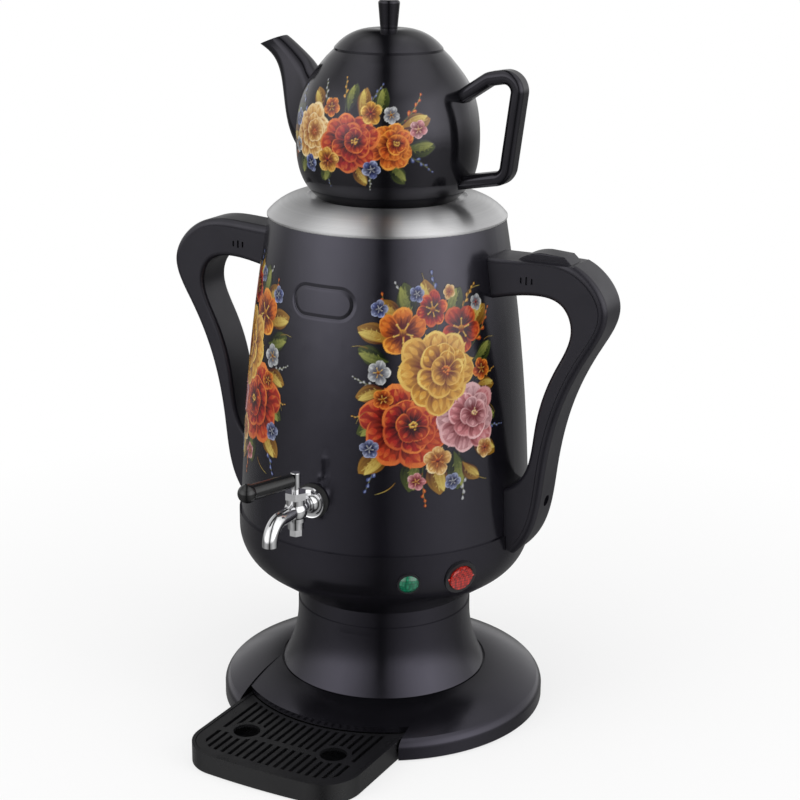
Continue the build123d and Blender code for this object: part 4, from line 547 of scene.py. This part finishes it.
# sprigs and leaves: x, y, heading, length, paint, bend; heads: x, y, size, paint, heading, heart, petals;
# small flowers: x, y, size, paint, heart; curls: x, y, heading, length, bend
bodyDesign = {  # tall spray for the body's sides
    "seed": 4, "width": 116, "height": 160, "buds": 7, "smallTurn": 70,
    "sprigs": (
        (4, 36, 80, 36, "blue", 0.22), (-22, 32, 122, 30, "coral", -0.2), (-24, -32, 226, 34, "blue", 0.25),
        (16, -36, 288, 34, "white", -0.2), (28, 24, 36, 29, "coral", 0.25), (-34, 4, 176, 17, "white", -0.25),
        (34, -24, 330, 20, "blue", 0.25), (-6, -44, 260, 28, "coral", 0.2), (-12, 44, 104, 26, "white", 0.2),
        (20, 42, 66, 26, "gold", -0.2), (32, 4, 4, 17, "gold", 0.2), (-32, -14, 196, 18, "gold", -0.2),
    ),
    "leaves": (
        (-26, 32, 150, 25, "ochre", 0.15), (-28, 20, 168, 22, "green", -0.15), (-30, 2, 186, 20, "ochre", 0.15),
        (-30, -16, 204, 21, "green", 0.12), (-28, -34, 232, 26, "ochre", -0.12), (-10, -40, 248, 25, "green", 0.15),
        (2, -42, 268, 26, "ochre", 0.12), (14, -40, 284, 26, "green", -0.15), (28, -32, 312, 24, "ochre", 0.15),
        (33, -16, 340, 17, "green", -0.12), (33, 0, 2, 16, "ochre", -0.15), (31, 16, 20, 20, "green", 0.15),
        (24, 34, 46, 27, "ochre", -0.15), (12, 42, 68, 25, "green", -0.12), (0, 44, 88, 27, "ochre", 0.15),
        (-12, 44, 112, 26, "green", -0.15), (-20, 46, 132, 20, "ochre", 0.2), (20, -48, 300, 18, "ochre", 0.2),
        (-2, -8, 200, 30, "green", 0.1), (4, -6, 330, 30, "ochre", 0.1), (-4, 30, 150, 26, "green", 0.1),
    ),
    "heads": (
        (openFlower, -19, 38, 17, "coral", 20, "gold"), (openFlower, 23, 38, 16, "red", 50, "gold"),
        (openFlower, 2, 52, 12, "red", 10, "gold", 6), (bloom, -19, -22, 27, "red", 10, "gold"),
        (bloom, 25, -20, 23, "rose", 30, "cream"), (bloom, 4, 13, 27, "gold", 0, "coral"),
    ),
    "small": (
        (-35, 13, 8, "white", "gold"), (38, 10, 7.5, "coral", "gold"), (3, -45, 10, "cream", "coral"),
        (-40, -36, 6.5, "blue", "white"), (13, -60, 6, "blue", "white"), (38, -42, 7, "cream", "red"),
        (-35, 53, 6, "blue", "white"), (37, 53, 5.5, "white", "red"), (-11, -58, 6, "rose", "gold"),
        (-32, -4, 7, "coral", "gold"), (-9, 62, 5.5, "blue", "white"), (15, 62, 5, "cream", "red"),
    ),
    "curls": (
        (-4, 64, 70, 10, 0.5), (30, 60, 40, 11, -0.5), (-42, -12, 200, 9, 0.6), (-24, -58, 240, 13, -0.5),
        (28, -56, 300, 12, 0.5), (43, -14, 340, 8, -0.6), (-42, 28, 150, 10, 0.5), (42, 28, 30, 9, -0.5),
    ),
}
potDesign = {  # low garland for the teapot
    "seed": 9, "width": 124, "height": 76, "buds": 6, "smallTurn": 70,
    "sprigs": (
        (-30, 8, 146, 26, "blue", -0.25), (-14, 16, 104, 19, "white", 0.2), (14, 16, 74, 19, "blue", -0.25),
        (32, 8, 32, 25, "coral", 0.25), (36, -8, 344, 22, "blue", -0.25), (-38, -8, 200, 20, "coral", 0.25),
        (-12, -16, 258, 14, "blue", 0.2), (16, -16, 284, 14, "white", -0.2), (0, 16, 92, 20, "gold", 0.2),
    ),
    "leaves": (
        (-34, 8, 154, 21, "green", 0.15), (-38, -2, 184, 20, "ochre", -0.15), (-30, -13, 216, 17, "green", 0.15),
        (-10, -15, 246, 15, "green", -0.15), (8, -15, 284, 15, "ochre", 0.15), (28, -14, 318, 17, "green", -0.15),
        (38, -4, 350, 20, "green", 0.15), (36, 8, 24, 20, "ochre", -0.15), (20, 15, 60, 18, "green", 0.15),
        (2, 17, 88, 17, "green", -0.15), (-18, 15, 118, 18, "ochre", 0.15), (10, 14, 74, 18, "ochre", 0.1),
    ),
    "heads": (
        (bloom, -28, 2, 18, "cream", 10, "red"), (bloom, 30, -3, 15.5, "coral", 25, "gold"),
        (bloom, 3, -1, 19, "red", 0, "gold"), (openFlower, -12, -14, 8.5, "gold", 20, "red"),
    ),
    "small": (
        (-11, 19, 6.5, "coral", "gold"), (17, 17, 7.5, "gold", "red"), (-46, 9, 6, "blue", "white"),
        (47, 7, 6, "rose", "cream"), (-28, -18, 6, "blue", "white"), (18, -18, 6, "blue", "white"),
        (30, 16, 5.5, "white", "gold"), (-44, -8, 5.5, "white", "gold"),
    ),
    "curls": (),
}


def paintSpray(design):
    spray = newSpray(design["seed"], design["width"], design["height"])
    for facts in design["sprigs"]:
        sprig(spray, *facts, design["buds"])
    for facts in design["leaves"]:
        leaf(spray, *facts)
    for head, *facts in design["heads"]:
        head(spray, *facts)
    for x, y, size, paint, heart in design["small"]:
        openFlower(spray, x, y, size, paint, spray["dice"].uniform(0, design["smallTurn"]), heart)
    for facts in design["curls"]:
        curl(spray, *facts)
    return spray


# place round the upright axis, with the angle counted from the front
def roundAxis(angle, radius, height):
    return Vector((radius * math.sin(angle), -radius * math.cos(angle), height))


# radius of a round wall at each height, felt with rays from outside
feeler = {"start": 0.3, "steps": 60}


def feelWall(node, low, high, angles):
    table = []
    for step in range(feeler["steps"] + 1):
        height = low + (high - low) * step / feeler["steps"]
        best = 0.0
        for angle in angles:
            way = roundAxis(math.radians(angle), 1.0, 0.0)
            hit, spot = nodes[node].ray_cast(way * feeler["start"] + Vector((0, 0, height)), -way)[:2]
            if hit:
                best = max(best, Vector((spot.x, spot.y)).length)
        table.append(best)
    return low, high, table


def wallRadius(wall, height):
    low, high, table = wall
    place = min(max((height - low) / (high - low), 0.0), 0.9999) * (len(table) - 1)
    index = int(place)
    return table[index] + (table[index + 1] - table[index]) * (place - index)


paintLook = {"ground": (0.0055, 0.0052, 0.0072), "fade": 0.12, "glossiest": 0.15, "dullest": 0.23,
             "grainScale": 1500.0, "grainDetail": 3.0, "specular": 0.55, "specularTint": (0.9, 0.88, 1.0, 1.0),
             "skin": 0.04, "skinDepth": 0.00005}


# paint from the piece's own colours, thin at a stroke's edge and faintly worn
def paintFinish(name, look):
    material, wire = startFinish(name)
    paint = wire.make("Attribute", {"attribute_name": "paint"}, out="Color")
    place = wire.make("TexCoord", out="Object")
    grain = noise(wire, place, look["grainScale"], look["grainDetail"])
    worn = grain.clamp(*noiseSpan, 0.0, look["fade"]).tint(paint, rgba(look["ground"]))
    closeFinish(wire, {
        "Base Color": paint.output("Alpha").tint(rgba(look["ground"]), worn),
        "Roughness": grain.clamp(*noiseSpan, look["glossiest"], look["dullest"]),
        "Specular IOR Level": look["specular"],
        "Specular Tint": look["specularTint"],
        "Normal": bump(wire, grain, look["skin"], look["skinDepth"]),
    })
    return material


sprayPaint = paintFinish("sprayPaint", paintLook)


# the canvas is a grid, bent to the wall; cells without paint are deleted
def wrapSpray(name, spray, wall, centre, height, reference, flip, body, slotName):
    columns, rows = len(spray["x"]), len(spray["y"])
    bpy.ops.object.select_all(action="DESELECT")
    bpy.ops.mesh.primitive_grid_add(x_subdivisions=columns - 1, y_subdivisions=rows - 1, size=2.0)
    piece = bpy.context.object
    piece.name = name
    mesh = piece.data
    mesh.name = name
    tint = mesh.attributes.new("paint", "FLOAT_COLOR", "POINT")
    bare = []
    for point in mesh.vertices:
        column = round((point.co.x + 1) / 2 * (columns - 1))
        row = round((point.co.y + 1) / 2 * (rows - 1))
        level = height + spray["y"][row] / canvas["perMetre"]
        turned = spray["x"][column] / canvas["perMetre"] / reference
        angle = math.radians(centre) + (-turned if flip else turned)
        point.co = roundAxis(angle, wallRadius(wall, level) + canvas["lift"], level)
        tint.data[point.index].color = spray["paint"][row, column]
        bare.append(spray["paint"][row, column, 3] < canvas["bare"])
    if flip:
        mesh.flip_normals()
    mesh.vertices.foreach_set("select", [False] * len(mesh.vertices))
    mesh.edges.foreach_set("select", [False] * len(mesh.edges))
    mesh.polygons.foreach_set("select", [all(bare[corner] for corner in face.vertices) for face in mesh.polygons])
    bpy.context.tool_settings.mesh_select_mode = (False, False, True)
    bpy.ops.object.mode_set(mode="EDIT")
    bpy.ops.mesh.delete(type="FACE")
    bpy.ops.object.mode_set(mode="OBJECT")
    bpy.ops.object.shade_smooth()
    mesh.materials.clear()
    mesh.materials.append(sprayPaint)
    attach(piece, body)
    print(name, "painted,", len(mesh.polygons), "faces")


bodyWall = feelWall("body_shell", 0.145, 0.34, (30, 41, 47, 53, 66))
potWall = feelWall("teapot_body", 0.358, 0.45, (-30, -13, 0, 11, 26))
sprays = [
    {"name": "rightSpray", "spray": paintSpray(bodyDesign), "wall": bodyWall, "centre": 47, "height": 0.248,
     "reference": 0.093, "flip": False, "body": "housing", "slotName": "body_enamel"},
    {"name": "leftSpray", "spray": paintSpray(bodyDesign), "wall": bodyWall, "centre": -47, "height": 0.248,
     "reference": 0.093, "flip": True, "body": "housing", "slotName": "body_enamel"},
    {"name": "potSpray", "spray": paintSpray(potDesign), "wall": potWall, "centre": 1, "height": 0.402,
     "reference": 0.0585, "flip": False, "body": "teapot", "slotName": "pot_glaze"},
]
for facts in sprays:
    wrapSpray(**facts)


# camera at the photograph's place
view = {"distance": 1.162, "height": 0.572, "azimuth": 28.5, "pitch": 17.06, "yaw": 0.48, "roll": 0.62,
        "lens": 79.83, "sensor": 36.0}
bpy.ops.object.camera_add()
camera = bpy.context.object
camera.name = "camera"
turn = math.radians(view["azimuth"])
spin = Matrix.Rotation(turn - math.radians(view["yaw"]), 3, "Z")
tilt = Matrix.Rotation(math.radians(90 - view["pitch"]), 3, "X")
roll = Matrix.Rotation(math.radians(view["roll"]), 3, "Z")
camera.location = roundAxis(turn, view["distance"], view["height"])
camera.rotation_euler = (spin @ tilt @ roll).to_euler()
camera.data.lens = view["lens"]
camera.data.sensor_width = view["sensor"]
bpy.context.scene.camera = camera


# soft boxes for the plain light level, angles from the camera's side; the room below gives their reflections
lamps = [
    {"name": "leftBox", "angle": -58, "distance": 1.5, "height": 0.8, "aim": 0.25, "size": (0.9, 1.4), "power": 10.0},
    {"name": "rightBox", "angle": 60, "distance": 1.5, "height": 0.8, "aim": 0.25, "size": (0.7, 1.4), "power": 8.0},
    {"name": "topBox", "angle": 10, "distance": 0.35, "height": 1.75, "aim": 0.3, "size": (1.3, 1.0), "power": 9.0},
]
for lamp in lamps:
    spot = roundAxis(turn + math.radians(lamp["angle"]), lamp["distance"], lamp["height"])
    aim = Vector((0, 0, lamp["aim"])) - spot
    bpy.ops.object.light_add(type="AREA", location=spot, rotation=aim.to_track_quat("-Z", "Y").to_euler())
    light = bpy.context.object
    light.name = lamp["name"]
    light.data.shape = "RECTANGLE"
    light.data.size, light.data.size_y = lamp["size"]
    light.data.energy = lamp["power"]
    light.visible_glossy = False


# studio room: white where the camera looks; in reflections two tall soft panels with a dark gap beside the camera,
# a dimmer wall behind the object and a ceiling
room = {
    "fill": 0.5, "gap": -0.05, "gapEdge": (0.05, 0.26),
    "panel": 2.4, "aside": 0.8, "panelSpan": (-0.3, 0.5), "right": 0.14,
    "overhead": 0.5, "overheadSpan": (0.5, 0.95), "low": 0.24, "lowSpan": (-0.14, 0.05),
    "back": 0.55, "backSpan": (-0.95, -0.4), "backFade": (0.1, 0.5),
    "top": 0.85, "topSpan": (0.68, 0.9), "rear": 0.19, "rearSpan": (-0.75, -0.3), "rearFade": (0.3, 0.6),
    "panels": [(0.0, 0.0), (0.06, 0.01), (0.15, 0.26), (0.27, 0.42), (0.47, 0.68), (0.68, 0.92), (0.86, 1.0),
               (1.0, 0.95)],
}
world = bpy.data.worlds.new("room")
bpy.context.scene.world = world
world.use_nodes = True
world.node_tree.nodes.clear()
wire = Wire(world.node_tree)
heading = wire.make("TexCoord", out="Generated")
toCamera = (math.sin(turn), -math.cos(turn), 0.0)
toRight = (math.cos(turn), math.sin(turn), 0.0)
front = wire.make("VectorMath", {"operation": "DOT_PRODUCT"}, {0: heading, 1: toCamera}, out="Value")
side = wire.make("VectorMath", {"operation": "DOT_PRODUCT"}, {0: heading, 1: toRight}, out="Value")
above = wire.make("SeparateXYZ", None, {0: heading}, out="Z")
swing = wire.sum("ABSOLUTE", side - room["gap"], 0.0)
stops = [(place, rgba((level, level, level))) for place, level in room["panels"]]
panels = wire.make("ValToRGB", {"stops": stops}, {0: swing})
direct = wire.make("LightPath", out="Is Camera Ray")
glossy = direct.output("Is Glossy Ray")
seen = wire.sum("MAXIMUM", direct, direct.output("Is Transmission Ray"))
height = above.clamp(*room["overheadSpan"], 1.0, room["overhead"]) * above.clamp(*room["lowSpan"], room["low"], 1.0)
behind = front.clamp(*room["backSpan"], room["back"], 0.0) * above.clamp(*room["backFade"], 1.0, 0.0)
upright = panels * front.clamp(*room["panelSpan"], room["aside"], room["panel"]) * (1 + side * room["right"])
rear = front.clamp(*room["rearSpan"], room["rear"], 0.0) * above.clamp(*room["rearFade"])
ceiling = above.clamp(*room["topSpan"], 0.0, room["top"]) + rear
mirrored = (upright + behind) * height + swing.clamp(*room["gapEdge"]) * ceiling
level = seen + (1 - seen) * (glossy * mirrored + (1 - glossy) * room["fill"])
backdrop = wire.make("Background", None, {"Color": plainWhite, "Strength": level})
wire.make("OutputWorld", None, {0: backdrop})

# pale floor that keeps a soft shadow near the object
ground = {"size": 8.0, "colour": (0.88, 0.88, 0.88), "white": 0.72, "whiteSpan": (0.15, 0.6)}
bpy.ops.mesh.primitive_plane_add(size=ground["size"], location=(0, 0, 0))
floor = bpy.context.object
floor.name = "floor"
material, wire = startFinish("paleFloor")
place = wire.make("TexCoord", out="Object")
away = wire.make("VectorMath", {"operation": "LENGTH"}, {0: place}, out="Value")
plain = wire.make("BsdfDiffuse", None, {"Color": rgba(ground["colour"])})
white = wire.make("Emission", None, {"Color": plainWhite, "Strength": 1.0})
direct = wire.make("LightPath", out="Is Camera Ray")
whitened = direct * away.clamp(*ground["whiteSpan"], ground["white"], 1.0)
seen = wire.make("MixShader", None, {0: whitened, 1: plain, 2: white})
clear = wire.make("BsdfTransparent")
surface = wire.make("MixShader", None, {0: direct.output("Is Glossy Ray"), 1: seen, 2: clear})
wire.make("OutputMaterial", None, {0: surface})
floor.data.materials.append(material)
bpy.context.scene.view_settings.view_transform = "Standard"
print("camera, lamps, room and floor ready")
